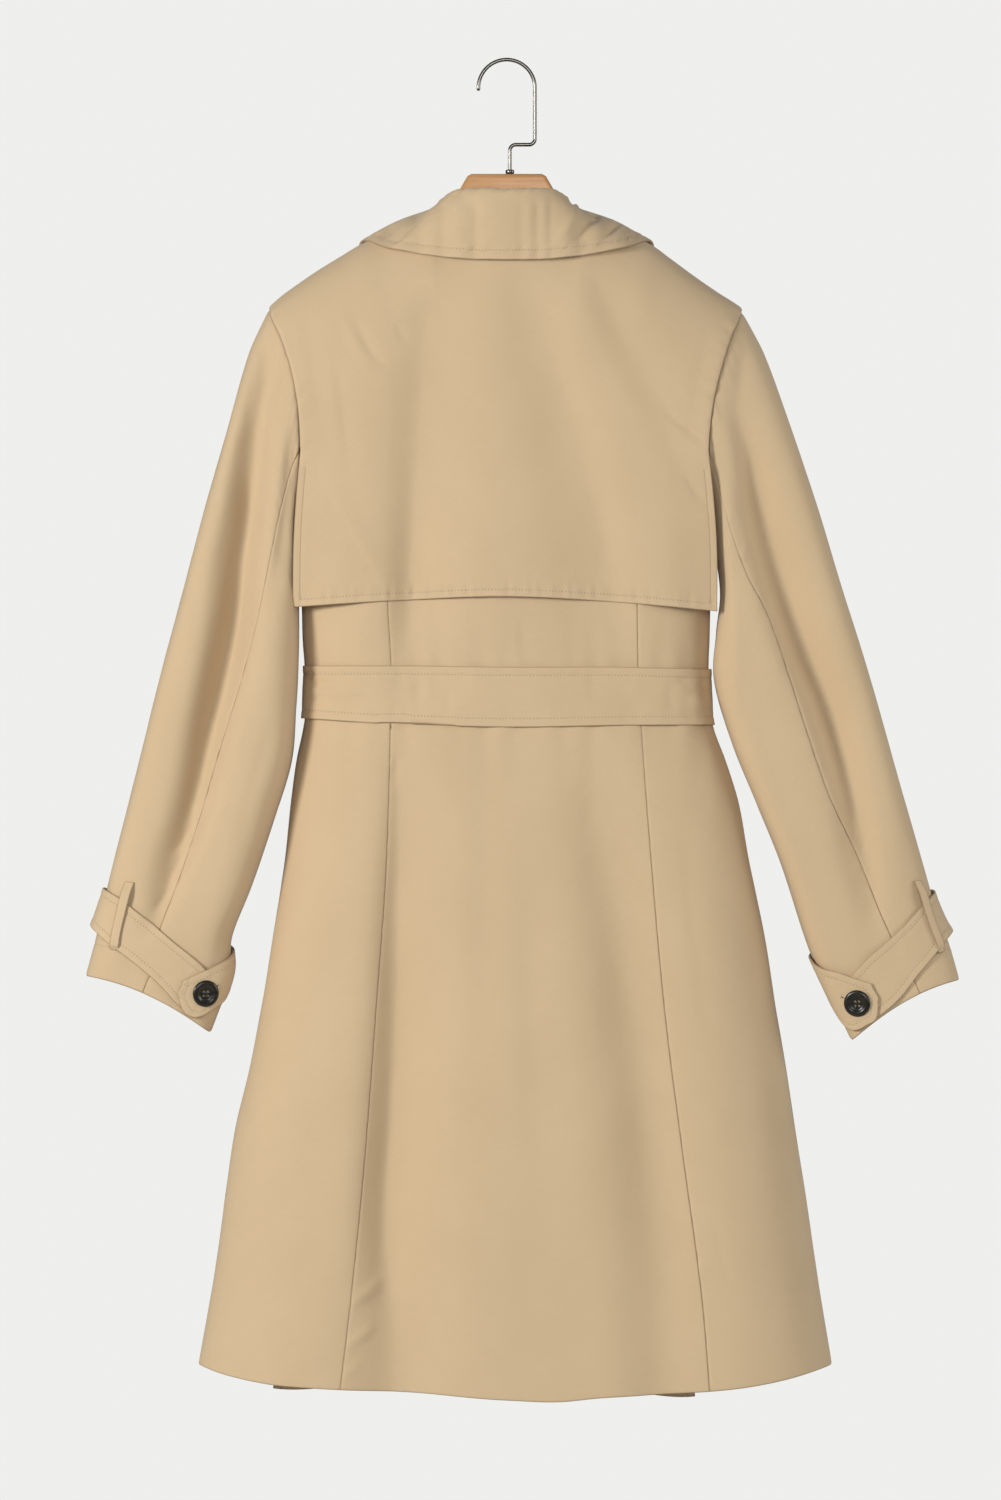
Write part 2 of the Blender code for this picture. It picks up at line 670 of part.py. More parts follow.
def make_collar():
    """The stand rises from the neck seam to the roll line, where the fall turns over it and down."""
    steps = range(-2 * COLLAR_END, 2 * COLLAR_END + 1)
    stations = [(abs(step) / 2, 1 if step >= 0 else -1) for step in steps]
    seam = [neck_point(station, side) for station, side in stations]
    shape = [read(COLLAR_LINE, station) for station, side in stations]
    turned = frames(seam)
    roll = [p + up * row[0] - out * row[1] for p, row, (up, out) in zip(seam, shape, turned)]
    stand, fall = [], []
    for foot, top, (up, out) in zip(seam, roll, turned):
        foot = foot - out * COLLAR_INSET + up * STAND_FOOT
        bulge = out * STAND_BULGE
        stand.append([foot + (top - foot) * u + bulge * math.sin(math.pi * u) for u in (1, 0.5, 0)])
    for (station, side), top, row, (up, out) in zip(stations, roll, shape, frames(roll)):
        edge = np.array([side * row[2], row[3], row[4]])
        strip = [top + up * ROLL_RISE, top + out * ROLL_REACH / 2 + up * ROLL_RISE * 0.75]
        shoulder = top + out * ROLL_REACH - up * ROLL_RISE / 2
        for u in FALL_LINES:
            strip.append(shoulder + (edge - shoulder) * u + (out + up) * FALL_BULGE * math.sin(math.pi * u))
        fall.append(strip)
    cloth("collar_stand", stand, STAND)
    cloth("collar_fall", fall, COLLAR)


def make_lapels():
    """Each lapel is the front's upper corner, turned out over the roll line."""
    for word, side in (("left", -1), ("right", 1)):
        outer, foot_row = side > 0, LAPEL_FOOT[word]
        rows = []
        for i in range(LAPEL_ROWS + 1):
            up = i / LAPEL_ROWS
            row = foot_row + (LAPEL_TOP_ROW - foot_row) * up
            under, over = edge_shares(row)
            share = over if outer else under
            middle, width = middle_and_half(row)
            start = middle + width * math.sin(math.pi / 2 * share)
            reach = read(LAPEL_REACH, up)[0] * (1.0 if outer else UNDER_LAPEL_SHARE)
            strip = []
            for j in range(LAPEL_COLUMNS + 1):
                turned = j / LAPEL_COLUMNS
                x = start + side * reach * turned
                fallen = min(row + LAPEL_DROP * turned * up, float(UPPER_ROWS))
                at = share_at(fallen, x)
                strip.append(body_point(1, at, fallen, layer(at, fallen, outer) + LAPEL_LIFT[word]))
            rows.append(strip)
        cloth("lapel_" + word, rows, LAPEL)


def sleeve_point(side, angle, section, out=0.0):
    """A point of a sleeve. The angle runs from its outer edge over the back, and is negative in front."""
    table = LEFT_SLEEVE if side < 0 else RIGHT_SLEEVE
    turn = math.radians(angle)
    across = (1 - math.cos(turn)) / 2
    outer_x, outer_z, inner_x, inner_z, back, front, bowed = read(table, section)
    depth = back if math.sin(turn) >= 0 else front
    flat = 1.0 - 0.15 * ease(section / 2)
    y = -math.copysign(depth * abs(math.sin(turn)) ** flat, math.sin(turn))
    x = outer_x + (inner_x - outer_x) * across + bowed * math.sin(turn) ** 2
    z = outer_z + (inner_z - outer_z) * across
    lift = CUFF_LIFT * ease(section - LAST_SECTION + 1) * math.sin(turn) ** 2
    if section < 1.0:
        height = (TIP_LEFT if side < 0 else TIP_RIGHT)[1]
        seam_z = height + (UNDERARM - height) * across
        seam_x = read(ARMHOLE, seam_z)[0 if side < 0 else 1]
        seam_x += side * (SEAM_GAP + 0.1 + SLEEVE_CAP * across**2)
        seam_y = -math.copysign(ARMHOLE_DEPTH * abs(math.sin(turn)), math.sin(turn))
        blend = ease(section)
        x, y, z = (a + (b - a) * blend for a, b in ((seam_x, x), (seam_y, y), (seam_z, z)))
    middle, spread, deep = SLEEVE_TROUGH
    groove = deep * math.exp(-(((angle - middle) / spread) ** 2)) * ease(section - 1) * ease(8 - section)
    point = np.array([x, y + groove, z + lift])
    if out:
        ahead = sleeve_point(side, angle + 1.0, section) - sleeve_point(side, angle - 1.0, section)
        low, high = max(section - 0.05, 0.0), min(section + 0.05, LAST_SECTION)
        along = sleeve_point(side, angle, high) - sleeve_point(side, angle, low)
        normal = np.cross(ahead, along)
        normal /= np.linalg.norm(normal)
        axis = (sleeve_point(side, 0.0, section) + sleeve_point(side, 180.0, section)) / 2
        point += out * (normal if normal @ (point - axis) > 0 else -normal)
    return point


def ring_angles(side, section):
    """Angles of a sleeve's points: the seams keep their place in the list all the way down."""
    seam = read(SLEEVE_SEAM, section)[0 if side < 0 else 1]
    upper = [seam * j / SEAM_ROW for j in range(SEAM_ROW + 1)]
    lower = [seam + (180 - seam) * j / (UPPER_ROWS - SEAM_ROW) for j in range(1, UPPER_ROWS - SEAM_ROW + 1)]
    return upper + lower


def make_sleeves():
    """An upper sleeve is in two sheets that meet at its outer edge, so that convex hulls can match them."""
    for word, side in (("left", -1), ("right", 1)):
        before, behind, under = [], [], []
        for section in SLEEVE_STOPS:
            angles = ring_angles(side, section)
            inner = angles[SEAM_ROW:] + [360 - a for a in angles[SEAM_ROW:-1]][::-1]
            outer = angles[: SEAM_ROW + 1]
            for rows, ring in ((before, [-a for a in outer][::-1]), (behind, outer), (under, inner)):
                strip = drawn_in([sleeve_point(side, a, section) for a in ring], True, True, SLEEVE_GAP)
                rows.append(strip[::-1] if side > 0 else strip)
        long_panel(before, ELBOW_ROW, f"sleeve_upper_{word}_front", f"sleeve_upper_{word}_front_low")
        long_panel(behind, ELBOW_ROW, f"sleeve_upper_{word}_back", f"sleeve_upper_{word}_back_low")
        cloth("sleeve_under_" + word, under, SHELL)


def strap_lift(angle):
    """The strap lies on the sleeve, and its button end on the strap."""
    start, end = STRAP_RISES
    return STRAP_LIFT + (TAB_LIFT - STRAP_LIFT) * ease((-angle - start) / (end - start))


def make_straps():
    for word, side, table in (("left", -1, LEFT_STRAP), ("right", 1, RIGHT_STRAP)):
        angles = [row[0] for row in table]
        ring = ring_angles(side, 10.0)
        folds_at = ring + [-a for a in ring[1:-1]] + [a - 360 for a in ring[1:]]
        inside = {round(a, 3) for a in folds_at if min(angles) + 4 < a < max(angles) - 4}
        stops = sorted(inside | {angles[0], angles[-1]})
        rows = []
        for angle in stops:
            top, low = read(table, angle)
            lift = strap_lift(angle)
            rows.append([sleeve_point(side, angle, top + (low - top) * u, lift) for u in STRAP_LINES])
        if side < 0:
            rows = rows[::-1]
        cloth("cuff_strap_" + word, rows, STRAP)


def make_carriers():
    """A narrow strip over each strap, caught on the sleeve above and below it."""
    near = SHELL / 2 + SEAM_GAP + CARRIER_THICK / 2
    far = STRAP_LIFT + STRAP / 2 + 1.6 * LAYER_GAP + CARRIER_THICK / 2
    for word, side in (("left", -1), ("right", 1)):
        angle, start, end = CARRIER[word]
        rows = []
        for u in CARRIER_LINES:
            lift = near + (far - near) * ease(min(u, 1 - u) / CARRIER_BEND)
            section = start + (end - start) * u
            spread = CARRIER_SPREAD * side
            rows.append([sleeve_point(side, angle + spread * v, section, lift) for v in (-1, 0, 1)])
        cloth("strap_carrier_" + word, rows, CARRIER_THICK)


def button_mesh(name):
    """A turned button with a raised rim, a dished middle and four sewing holes."""
    mesh = bpy.data.meshes.new(name)
    shape = bmesh.new()
    points = [shape.verts.new((r * MM, 0.0, z * MM)) for r, z in BUTTON_PROFILE]
    edges = [shape.edges.new(pair) for pair in zip(points, points[1:])]
    bmesh.ops.spin(
        shape, geom=points + edges, cent=(0, 0, 0), axis=(0, 0, 1), angle=math.tau, steps=28, use_merge=True
    )
    bmesh.ops.remove_doubles(shape, verts=shape.verts, dist=1e-5)
    bmesh.ops.recalc_face_normals(shape, faces=shape.faces)
    shape.to_mesh(mesh)
    shape.free()
    return mesh


def make_buttons():
    black = material("button", BUTTON_COLOUR, 0.35)
    for word, side in (("left", -1), ("right", 1)):
        angle, section = BUTTON_AT[word]
        base = sleeve_point(side, angle, section, BUTTON_LIFT)
        away = sleeve_point(side, angle, section, BUTTON_LIFT + 1.0) - base
        button = place("cuff_button_" + word, button_mesh("cuff_button_" + word), black)
        turn = to_frame(away)
        button.rotation_euler = turn.to_euler()
        button.location = base * MM
        for i in range(4):
            spot = math.radians(45 + 90 * i)
            offset = np.array([math.cos(spot), math.sin(spot)]) * BUTTON_HOLES_OUT * MM
            bpy.ops.mesh.primitive_cylinder_add(vertices=8, radius=BUTTON_HOLE * MM, depth=12 * MM)
            hole = bpy.context.object
            hole.name = f"hole_{word}_{i + 1}"
            for group in hole.users_collection:
                group.objects.unlink(hole)
            collection(GUIDES).objects.link(hole)
            hole.matrix_world = button_place(base, turn, offset)
            hole.hide_render = True
            hole.display_type = "WIRE"
            cut = button.modifiers.new(hole.name, "BOOLEAN")
            cut.operation = "DIFFERENCE"
            cut.object = hole


def to_frame(away):
    """The turn that sets a button's axis along this direction."""
    return Vector(away).to_track_quat("Z", "Y")


def button_place(base, turn, offset):
    at = Matrix.Translation(Vector(base) * MM) @ turn.to_matrix().to_4x4()
    return at @ Matrix.Translation((offset[0], offset[1], 0.0))


def make_belt():
    """Round the waist, from the under end in front, by the left, the back and the right, to the over end."""
    levels = (BELT_TOP, (BELT_TOP + BELT_BOTTOM) / 2, BELT_BOTTOM)
    near = SHELL / 2 + LAYER_GAP + BELT / 2
    strips = []
    for level in levels:
        row = row_of(level)
        under_edge, over_edge = edge_shares(row)
        left = [s for s in np.linspace(-1.0, under_edge, FRONT_COLUMNS + 1) if s < over_edge]
        right = list(np.linspace(over_edge, 1.0, FRONT_COLUMNS + 1))
        under = (left + [s for s in right if s < BELT_UNDER_END])[::-1]
        strip = [body_point(1, share, row, near + belt_layer(share)) for share in under[:-1]]
        strip += [body_point(-1, share, row, near) for share in back_columns(row)]
        for share in [s for s in right if s > BELT_OVER_END][::-1][1:]:
            rise = ease((BELT_LAPPED - share) / BELT_LAPPED) * (BELT + LAYER_GAP)
            strip.append(body_point(1, share, row, near + belt_layer(share) + rise))
        strips.append(strip)
    cloth("belt", strips, BELT)


def belt_layer(share):
    across = math.sin(math.pi / 2 * share)
    return FRONTS_APART / 2 * ease((0.95 - across) / 0.3) * ease((across + 1) / 0.28)


def make_hanger():
    """The bar is an outline with its thickness, its edges rounded."""
    upper, lower = [], []
    for side in (1, -1):
        rows = [(side * x, top or ridge(side * x) - HANGER_CLEAR, height) for x, top, height in HANGER]
        upper.append([(x, top) for x, top, _ in rows])
        lower.append([(x, top - height) for x, top, height in rows])
    outline = upper[0] + lower[0][::-1] + lower[1][1:] + upper[1][:0:-1]
    shape = bmesh.new()
    front = [shape.verts.new((x * MM, -HANGER_THICK / 2 * MM, z * MM)) for x, z in outline]
    face = shape.faces.new(front)
    grown = bmesh.ops.extrude_face_region(shape, geom=[face])["geom"]
    moved = [v for v in grown if isinstance(v, bmesh.types.BMVert)]
    bmesh.ops.translate(shape, verts=moved, vec=(0, HANGER_THICK * MM, 0))
    bmesh.ops.recalc_face_normals(shape, faces=shape.faces)
    mesh = bpy.data.meshes.new("hanger_bar")
    shape.to_mesh(mesh)
    shape.free()
    bar = place("hanger_bar", mesh, material("beech", WOOD_COLOUR, 0.45))
    bevel = bar.modifiers.new("rounding", "BEVEL")
    bevel.width = HANGER_ROUND * MM
    bevel.segments = 2
    bevel.limit_method = "ANGLE"
    bevel.angle_limit = math.radians(50)


def make_ferrule():
    """A ring round the foot of the hook."""
    low, bore = WOOD_TOP + SEAM_GAP, WIRE + 0.3
    outside, rim = FERRULE_RADIUS, FERRULE_RADIUS - FERRULE_ROUND
    profile = ((bore, low), (outside, low), (outside, FERRULE_TOP - FERRULE_ROUND), (rim, FERRULE_TOP))
    profile += ((bore, FERRULE_TOP),)
    shape = bmesh.new()
    points = [shape.verts.new(((HOOK_STEM_X + r) * MM, 0.0, z * MM)) for r, z in profile]
    edges = [shape.edges.new(pair) for pair in zip(points, points[1:] + points[:1])]
    bmesh.ops.spin(
        shape,
        geom=points + edges,
        cent=(HOOK_STEM_X * MM, 0, 0),
        axis=(0, 0, 1),
        angle=math.tau,
        steps=24,
        use_merge=True,
    )
    bmesh.ops.remove_doubles(shape, verts=shape.verts, dist=1e-6)
    bmesh.ops.recalc_face_normals(shape, faces=shape.faces)
    mesh = bpy.data.meshes.new("hook_ferrule")
    shape.to_mesh(mesh)
    shape.free()
    place("hook_ferrule", mesh, material("ferrule_steel", STEEL_COLOUR, 0.25, 1.0))


def make_hook():
    """Stem, jog, upright and arc of one bent wire."""
    centre = WIRE - HOOK_ARC
    path = [(HOOK_STEM_X, WOOD_TOP + SEAM_GAP), (HOOK_STEM_X, HOOK_JOG - HOOK_BEND)]
    for i in range(1, 5):
        a = math.radians(180 - 22.5 * i)
        path.append((HOOK_STEM_X + HOOK_BEND * (1 + math.cos(a)), HOOK_JOG - HOOK_BEND * (1 - math.sin(a))))
    for i in range(5):
        a = math.radians(-90 + 22.5 * i)
        path.append((HOOK_ARC - HOOK_BEND * (1 - math.cos(a)), HOOK_JOG + HOOK_BEND * (1 + math.sin(a))))
    for i in range(19):
        a = math.radians(183 / 18 * i)
        path.append((HOOK_ARC * math.cos(a), centre + HOOK_ARC * math.sin(a)))
    curve = bpy.data.curves.new("hanger_hook", "CURVE")
    curve.dimensions = "3D"
    curve.bevel_depth = WIRE * MM
    curve.bevel_resolution = 2
    curve.use_fill_caps = True
    spline = curve.splines.new("POLY")
    spline.points.add(len(path) - 1)
    for point, (x, z) in zip(spline.points, path):
        point.co = (x * MM, 0.0, z * MM, 1.0)
    hook = bpy.data.objects.new("hanger_hook", curve)
    collection(PIECES).objects.link(hook)
    curve.materials.append(material("hook_steel", STEEL_COLOUR, 0.2, 1.0))


def main():
    for leftover in list(bpy.data.objects):
        bpy.data.objects.remove(leftover)
    make_back()
    make_fronts()
    make_flap()
    make_collar()
    make_lapels()
    make_sleeves()
    make_straps()
    make_carriers()
    make_buttons()
    make_belt()
    make_hanger()
    make_ferrule()
    make_hook()


main()
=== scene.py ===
import math

import bmesh
import bpy
import numpy as np
from mathutils import Matrix, Vector


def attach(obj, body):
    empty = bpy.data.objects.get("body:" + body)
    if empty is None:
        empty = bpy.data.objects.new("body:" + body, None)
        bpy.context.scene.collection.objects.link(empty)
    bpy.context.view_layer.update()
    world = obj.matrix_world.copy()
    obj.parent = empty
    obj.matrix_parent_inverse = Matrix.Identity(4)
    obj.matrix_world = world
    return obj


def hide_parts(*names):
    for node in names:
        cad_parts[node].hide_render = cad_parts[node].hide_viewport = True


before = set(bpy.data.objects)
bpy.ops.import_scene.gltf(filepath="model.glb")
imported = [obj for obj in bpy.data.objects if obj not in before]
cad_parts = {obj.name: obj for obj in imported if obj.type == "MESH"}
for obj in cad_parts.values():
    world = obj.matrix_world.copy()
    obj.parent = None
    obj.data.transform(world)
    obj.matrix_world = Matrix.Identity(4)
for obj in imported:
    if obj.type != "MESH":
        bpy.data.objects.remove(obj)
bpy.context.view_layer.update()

# Lengths are in millimetres until a mesh is made. The coat's back faces -Y, its left is at -X.
MM = 0.001

# Thickness of each kind of cloth, and the clearances between layers, as in the solids
SHELL = 1.4
COLLAR = 2.0
STAND = 1.6
BELT = 1.8
STRAP = 1.6
LAPEL = 1.6
CARRIER = 1.2
LAYER_GAP = 0.5
FRONTS_APART = 2.6
STRAP_LIFT = SHELL / 2 + 1.4 * LAYER_GAP + STRAP / 2
TAB_LIFT = STRAP_LIFT + STRAP + LAYER_GAP
LAPEL_LIFT = {"left": (SHELL + LAPEL) / 2 + 0.9 * LAYER_GAP, "right": (SHELL + LAPEL) / 2 + 2.2 * LAYER_GAP}

# The coat's main heights and widths
TIP_LEFT = (-201.2, -211.7)
TIP_RIGHT = (200.0, -214.3)
UNDERARM = -385.0
BELT_TOP = -516.5
BELT_BOTTOM = -567.5
HEM = -1111.0
# How far the hem's middle lies below its sides, the power of that curve, and how far and over what width
# the front edges droop
HEM_SAG = 27.0
HEM_POWER = 2.3
FRONT_DROOP = 12.5
DROOP_WIDTH = 88.0
# Half depth of the armholes, half width of the neck, how far it reaches back, dips and slopes, and how
# far below the shoulder's ridge the middle of the back turns upright
ARMHOLE_DEPTH = 47.0
NECK_HALF = 66.0
NECK_BACK = 42.0
NECK_DIP = 12.0
NECK_SLOPE = 0.35
RIDGE_ROUND = 118.0
# Rows down which the neck rounds off, gap between the halves at the sides, and how late folds die out there
NECK_ROWS = 2.5
SIDES_APART = 0.9
FOLD_FADE = 6
# The share across at which one front starts to lift off the other, and the share it takes
LAYER_STARTS = 0.95
LAYER_FADE = 0.3
# Distances counted in rows: to the underarm, and to where the fronts are fully apart
UPPER_ROWS = 8
SHOULDER_ROWS = 3.0

# Topstitching: how far it lies from the edge, pitch, length and width of a stitch, pitch and width of
# satin stitches, and how far the middle of a thread lies over the cloth
STITCH_IN = 6.0
BELT_STITCH_IN = 7.0
COLLAR_STITCH_IN = 8.0
STITCH_PITCH = 2.9
STITCH_LONG = 2.1
STITCH_WIDE = 0.7
SATIN_PITCH = 0.6
SATIN_WIDE = 0.5
THREAD_LIFT = 0.05
# A turned edge: how full it is, and depth and half width of the groove under its stitching
EDGE_FULL = 0.16
GROOVE_DEEP = 0.30
GROOVE_WIDE = 1.4
# Distance that counts as far from any stitching
NO_THREAD = 9.0
# The least flat width that a sheet may state, in metres
LEAST_FLAT = 0.0101

# Fine lines of a sheet, by their distance from its edge: at a plain seam, at a stitched edge, at the
# edges of belt, sleeve hem and collar, and at the coat's hem
SEAM_LINES = (0.0, 0.7, 1.6, 3.0, 5.0)
EDGE_LINES = (0.0, 0.7, 1.6, 3.2, 4.8, 6.0, 7.2, 9.0, 12.0, 16.0)
BELT_LINES = (0.0, 0.7, 1.6, 4.0, 5.8, 7.0, 8.2, 10.0, 13.0)
SLEEVE_LINES = (0.0, 0.7, 1.6, 3.5, 7.0, 14.0, 21.0, 26.5, 28.0, 29.5, 32.0)
COLLAR_LINES = (0.0, 0.7, 1.6, 4.2, 6.8, 8.0, 9.2, 11.0, 14.0, 17.0)
HEM_LINES = (0.0, 0.7, 1.6, 3.5, 7.0)

# The shoulder ridge: distance from the middle, height on the left, height on the right
RIDGE = (
    (66.0, -129.0, -129.0),
    (90.0, -142.0, -142.0),
    (105.0, -150.0, -150.0),
    (125.0, -159.5, -160.0),
    (140.0, -168.5, -171.3),
    (160.0, -181.0, -186.0),
    (180.0, -194.5, -200.0),
    (192.0, -203.5, -207.5),
    (201.2, -211.7, -214.3),
)

# The armhole seams: height, x on the left, x on the right
ARMHOLE = (
    (-211.7, -201.2, 200.0),
    (-220.0, -199.5, 198.0),
    (-234.7, -192.7, 191.5),
    (-260.0, -184.0, 183.0),
    (-293.0, -177.4, 175.0),
    (-338.0, -174.8, 171.0),
    (-385.0, -176.0, 173.7),
)

# Level rings of the body: height, left side, right side, depth behind, depth in front, squareness
BODY = (
    (-385.0, -176.0, 173.7, 53.0, 56.0, 2.7),
    (-426.0, -174.8, 173.7, 53.0, 57.0, 3.0),
    (-467.0, -174.0, 173.2, 51.0, 56.0, 3.5),
    (-494.0, -173.0, 172.5, 49.0, 54.0, 3.3),
    (-516.5, -171.0, 171.5, 47.0, 53.0, 3.0),
    (-542.0, -171.5, 172.5, 47.0, 53.0, 3.0),
    (-567.5, -173.0, 175.0, 48.0, 53.0, 3.0),
    (-596.0, -178.2, 186.0, 50.0, 55.0, 3.0),
    (-626.0, -182.5, 195.8, 53.0, 57.0, 3.0),
    (-681.0, -188.4, 206.0, 57.0, 60.0, 3.0),
    (-752.0, -199.5, 220.4, 61.0, 63.0, 3.0),
    (-808.0, -208.8, 228.9, 63.0, 65.0, 3.0),
    (-859.0, -219.0, 237.4, 65.0, 67.0, 3.0),
    (-910.0, -230.9, 245.1, 66.0, 68.0, 3.0),
    (-961.0, -238.6, 253.6, 67.0, 69.0, 3.1),
    (-1012.0, -245.4, 261.2, 68.0, 70.0, 3.1),
    (-1063.0, -253.9, 268.9, 69.0, 71.0, 3.2),
    (-1111.0, -262.1, 276.5, 70.0, 72.0, 3.2),
)
LEVELS = tuple(row[0] for row in BODY)
LAST_ROW = UPPER_ROWS + len(LEVELS) - 1

# The two long back seams: height, x on the left, x on the right
BACK_SEAMS = (
    (-129.0, -104.0, 106.0),
    (-385.0, -102.0, 110.0),
    (-462.0, -101.0, 110.8),
    (-516.5, -98.3, 111.6),
    (-567.5, -98.8, 114.2),
    (-689.0, -102.6, 123.5),
    (-800.0, -111.0, 134.0),
    (-910.0, -119.6, 148.5),
    (-1038.0, -132.3, 166.0),
    (-1111.0, -141.0, 172.0),
)

# The front edges: height, x of the under front's edge, x of the over front's edge
FRONT_EDGES = (
    (-129.0, -66.0, 66.0),
    (-243.0, 0.0, 0.0),
    (-350.0, 58.0, -60.0),
    (-430.0, 84.0, -92.0),
    (-516.5, 100.0, -118.0),
    (-567.5, 104.0, -124.0),
    (-800.0, 128.0, -158.0),
    (-1111.0, 162.0, -200.0),
)

# Each fold is a row of stations down its length: height, x, how far it reaches to the left and to the
# right, and its depth (a ridge has a negative depth)
BACK_FOLDS = (
    ((-186, -60, 16, 28, 0), (-205, -62, 20, 30, 5.5), (-250, -68, 22, 36, 8), (-300, -72, 23, 40, 10),
     (-350, -75, 22, 42, 12), (-395, -78, 19, 40, 13.5), (-430, -80, 18, 38, 14),
     (-467, -81, 18, 38, 13.5), (-520, -84, 18, 40, 6.5), (-566, -86, 18, 36, 3)),
    ((-168, 10, 20, 24, 0), (-205, 20, 26, 26, 5.5), (-250, 34, 31, 28, 8), (-290, 48, 36, 28, 10),
     (-340, 60, 40, 28, 11.5), (-392, 74, 46, 28, 12.5), (-430, 80, 46, 28, 12), (-467, 84, 44, 28, 10),
     (-520, 86, 34, 28, 4), (-560, 88, 26, 26, 0)),
    ((-178, 78, 14, 20, 0), (-205, 86, 16, 22, 4), (-250, 106, 18, 24, 4.8), (-290, 128, 18, 22, 4.6),
     (-330, 142, 15, 20, 3.4), (-372, 158, 12, 18, 0)),
    ((-205, -168, 8, 9, 0), (-240, -166, 8, 10, 2.4), (-300, -160, 9, 12, 2.2), (-345, -154, 10, 14, 0)),
    ((-212, 176, 8, 7, 0), (-250, 170, 8, 8, 2.2), (-300, 162, 9, 8, 2.2), (-340, 158, 10, 8, 0)),
    ((-568, -94, 10, 26, 2), (-640, -90, 14, 36, 10.5), (-715, -91, 17, 44, 17), (-800, -92, 20, 48, 22),
     (-900, -97, 20, 48, 25), (-970, -101, 21, 48, 25), (-1010, -101, 22, 48, 24),
     (-1045, -98, 26, 48, 23), (-1085, -94, 32, 48, 22), (-1145, -92, 36, 48, 21)),
    ((-575, -20, 16, 20, 0), (-660, -19, 16, 22, 2.4), (-790, -17, 18, 24, 3), (-900, -18, 20, 26, 2),
     (-1000, -20, 22, 28, 0)),
    ((-640, 22, 14, 20, 0), (-760, 22, 15, 22, 2), (-840, 24, 16, 24, 2.6), (-980, 30, 18, 26, 1.8),
     (-1080, 34, 20, 28, 0)),
    ((-572, 70, 24, 24, 0), (-640, 79, 27, 40, 8.5), (-715, 93, 28, 40, 14), (-842, 112, 29, 38, 18),
     (-970, 126, 30, 38, 18), (-1080, 134, 32, 38, 15), (-1140, 138, 34, 38, 14)),
    ((-572, 160, 26, 16, 0), (-630, 178, 42, 20, -3), (-720, 192, 50, 26, -5), (-840, 206, 58, 34, -5.5),
     (-960, 218, 62, 38, -5.5), (-1080, 240, 70, 36, -6), (-1145, 250, 72, 34, -6)),
    ((-620, -156, 20, 40, 0), (-800, -200, 20, 50, -3), (-960, -215, 22, 60, -7.5),
     (-1080, -228, 24, 66, -11), (-1145, -236, 26, 70, -12)),
    ((-640, 150, 5, 8, 0), (-720, 156, 6, 9, 1.2), (-800, 166, 6, 9, 0.8), (-860, 172, 6, 9, 0)),
)
# Small sharp creases of the back: drag lines at the right armhole, across the flap, beside the seams
BACK_CREASES = (
    ((-294, 128, 4, 6, 0), (-308, 143, 4, 7, 1.6), (-320, 158, 4, 7, 2.2), (-334, 172, 4, 7, 0)),
    ((-352, 150, 3, 5, 0), (-368, 160, 4, 6, 1.6), (-384, 171, 4, 6, 0.4)),
    ((-222, -128, 4, 6, 0), (-234, -124, 4, 7, 1.2), (-252, -114, 4, 7, 1.3), (-266, -102, 4, 7, 0)),
    ((-222, -94, 3, 5, 0), (-232, -91, 4, 6, 1), (-248, -84, 4, 6, 0)),
    ((-250, -146, 4, 6, 0), (-290, -140, 5, 8, 1.2), (-340, -134, 5, 9, 0.8), (-370, -130, 5, 9, 0)),
    ((-330, -166, 4, 8, 0), (-380, -140, 5, 9, -0.9), (-430, -112, 5, 9, -0.9), (-455, -98, 5, 8, 0)),
    ((-212, -142, 4, 7, 0), (-240, -130, 5, 8, -0.8), (-275, -116, 5, 9, 0)),
    ((-1034, -106, 4, 4, 0), (-1042, -114, 5, 5, -1.8), (-1054, -127, 5, 5, -1.6),
     (-1060, -133, 4, 4, 0)),
    ((-1072, -112, 4, 4, 0), (-1080, -120, 5, 5, -1.8), (-1090, -131, 5, 5, -1.4),
     (-1096, -137, 4, 4, 0)),
    ((-1104, -124, 4, 4, 0), (-1112, -131, 4, 4, -1.2), (-1120, -137, 4, 4, 0)),
    ((-1012, 172, 4, 4, 0), (-1026, 166, 5, 6, -0.9), (-1038, 160, 4, 5, 0)),
    ((-980, 172, 3, 4, 0), (-1010, 180, 3, 5, 0.8), (-1048, 190, 3, 6, 0)),
    ((-470, 11, 3, 4, 0), (-492, 13, 3, 4, 0.6), (-514, 14, 3, 4, 0.2)),
    ((-592, -92, 3, 5, 0.6), (-604, -95, 3, 5, 1), (-622, -98, 3, 5, 0)),
)
FRONT_FOLDS = (
    ((-200, -118, 20, 26, 0), (-300, -110, 24, 30, 3), (-430, -98, 24, 30, 4), (-515, -90, 20, 26, 2.5)),
    ((-230, 104, 26, 20, 0), (-320, 96, 28, 24, 3), (-440, 90, 28, 24, 3.5), (-515, 84, 24, 20, 2)),
    ((-568, -96, 26, 30, 1), (-700, -100, 34, 40, 3.5), (-900, -114, 40, 46, 5.5),
     (-1140, -132, 42, 50, 7)),
    ((-568, 8, 24, 24, 0.5), (-720, 14, 30, 34, -2.5), (-920, 22, 38, 42, -4), (-1140, 32, 44, 46, -5)),
    ((-568, 106, 24, 26, 1), (-690, 114, 30, 34, 4), (-900, 130, 38, 40, 5), (-1140, 152, 42, 44, 6.5)),
    ((-600, -40, 14, 18, 0), (-760, -44, 18, 22, 2.2), (-1000, -50, 22, 26, 2.8),
     (-1140, -54, 24, 28, 2)),
    ((-640, 196, 18, 14, 0), (-820, 208, 22, 18, 3), (-1130, 228, 24, 20, 3)),
    ((-640, -178, 14, 18, 0), (-820, -190, 18, 22, 3), (-1130, -214, 20, 24, 3.4)),
)
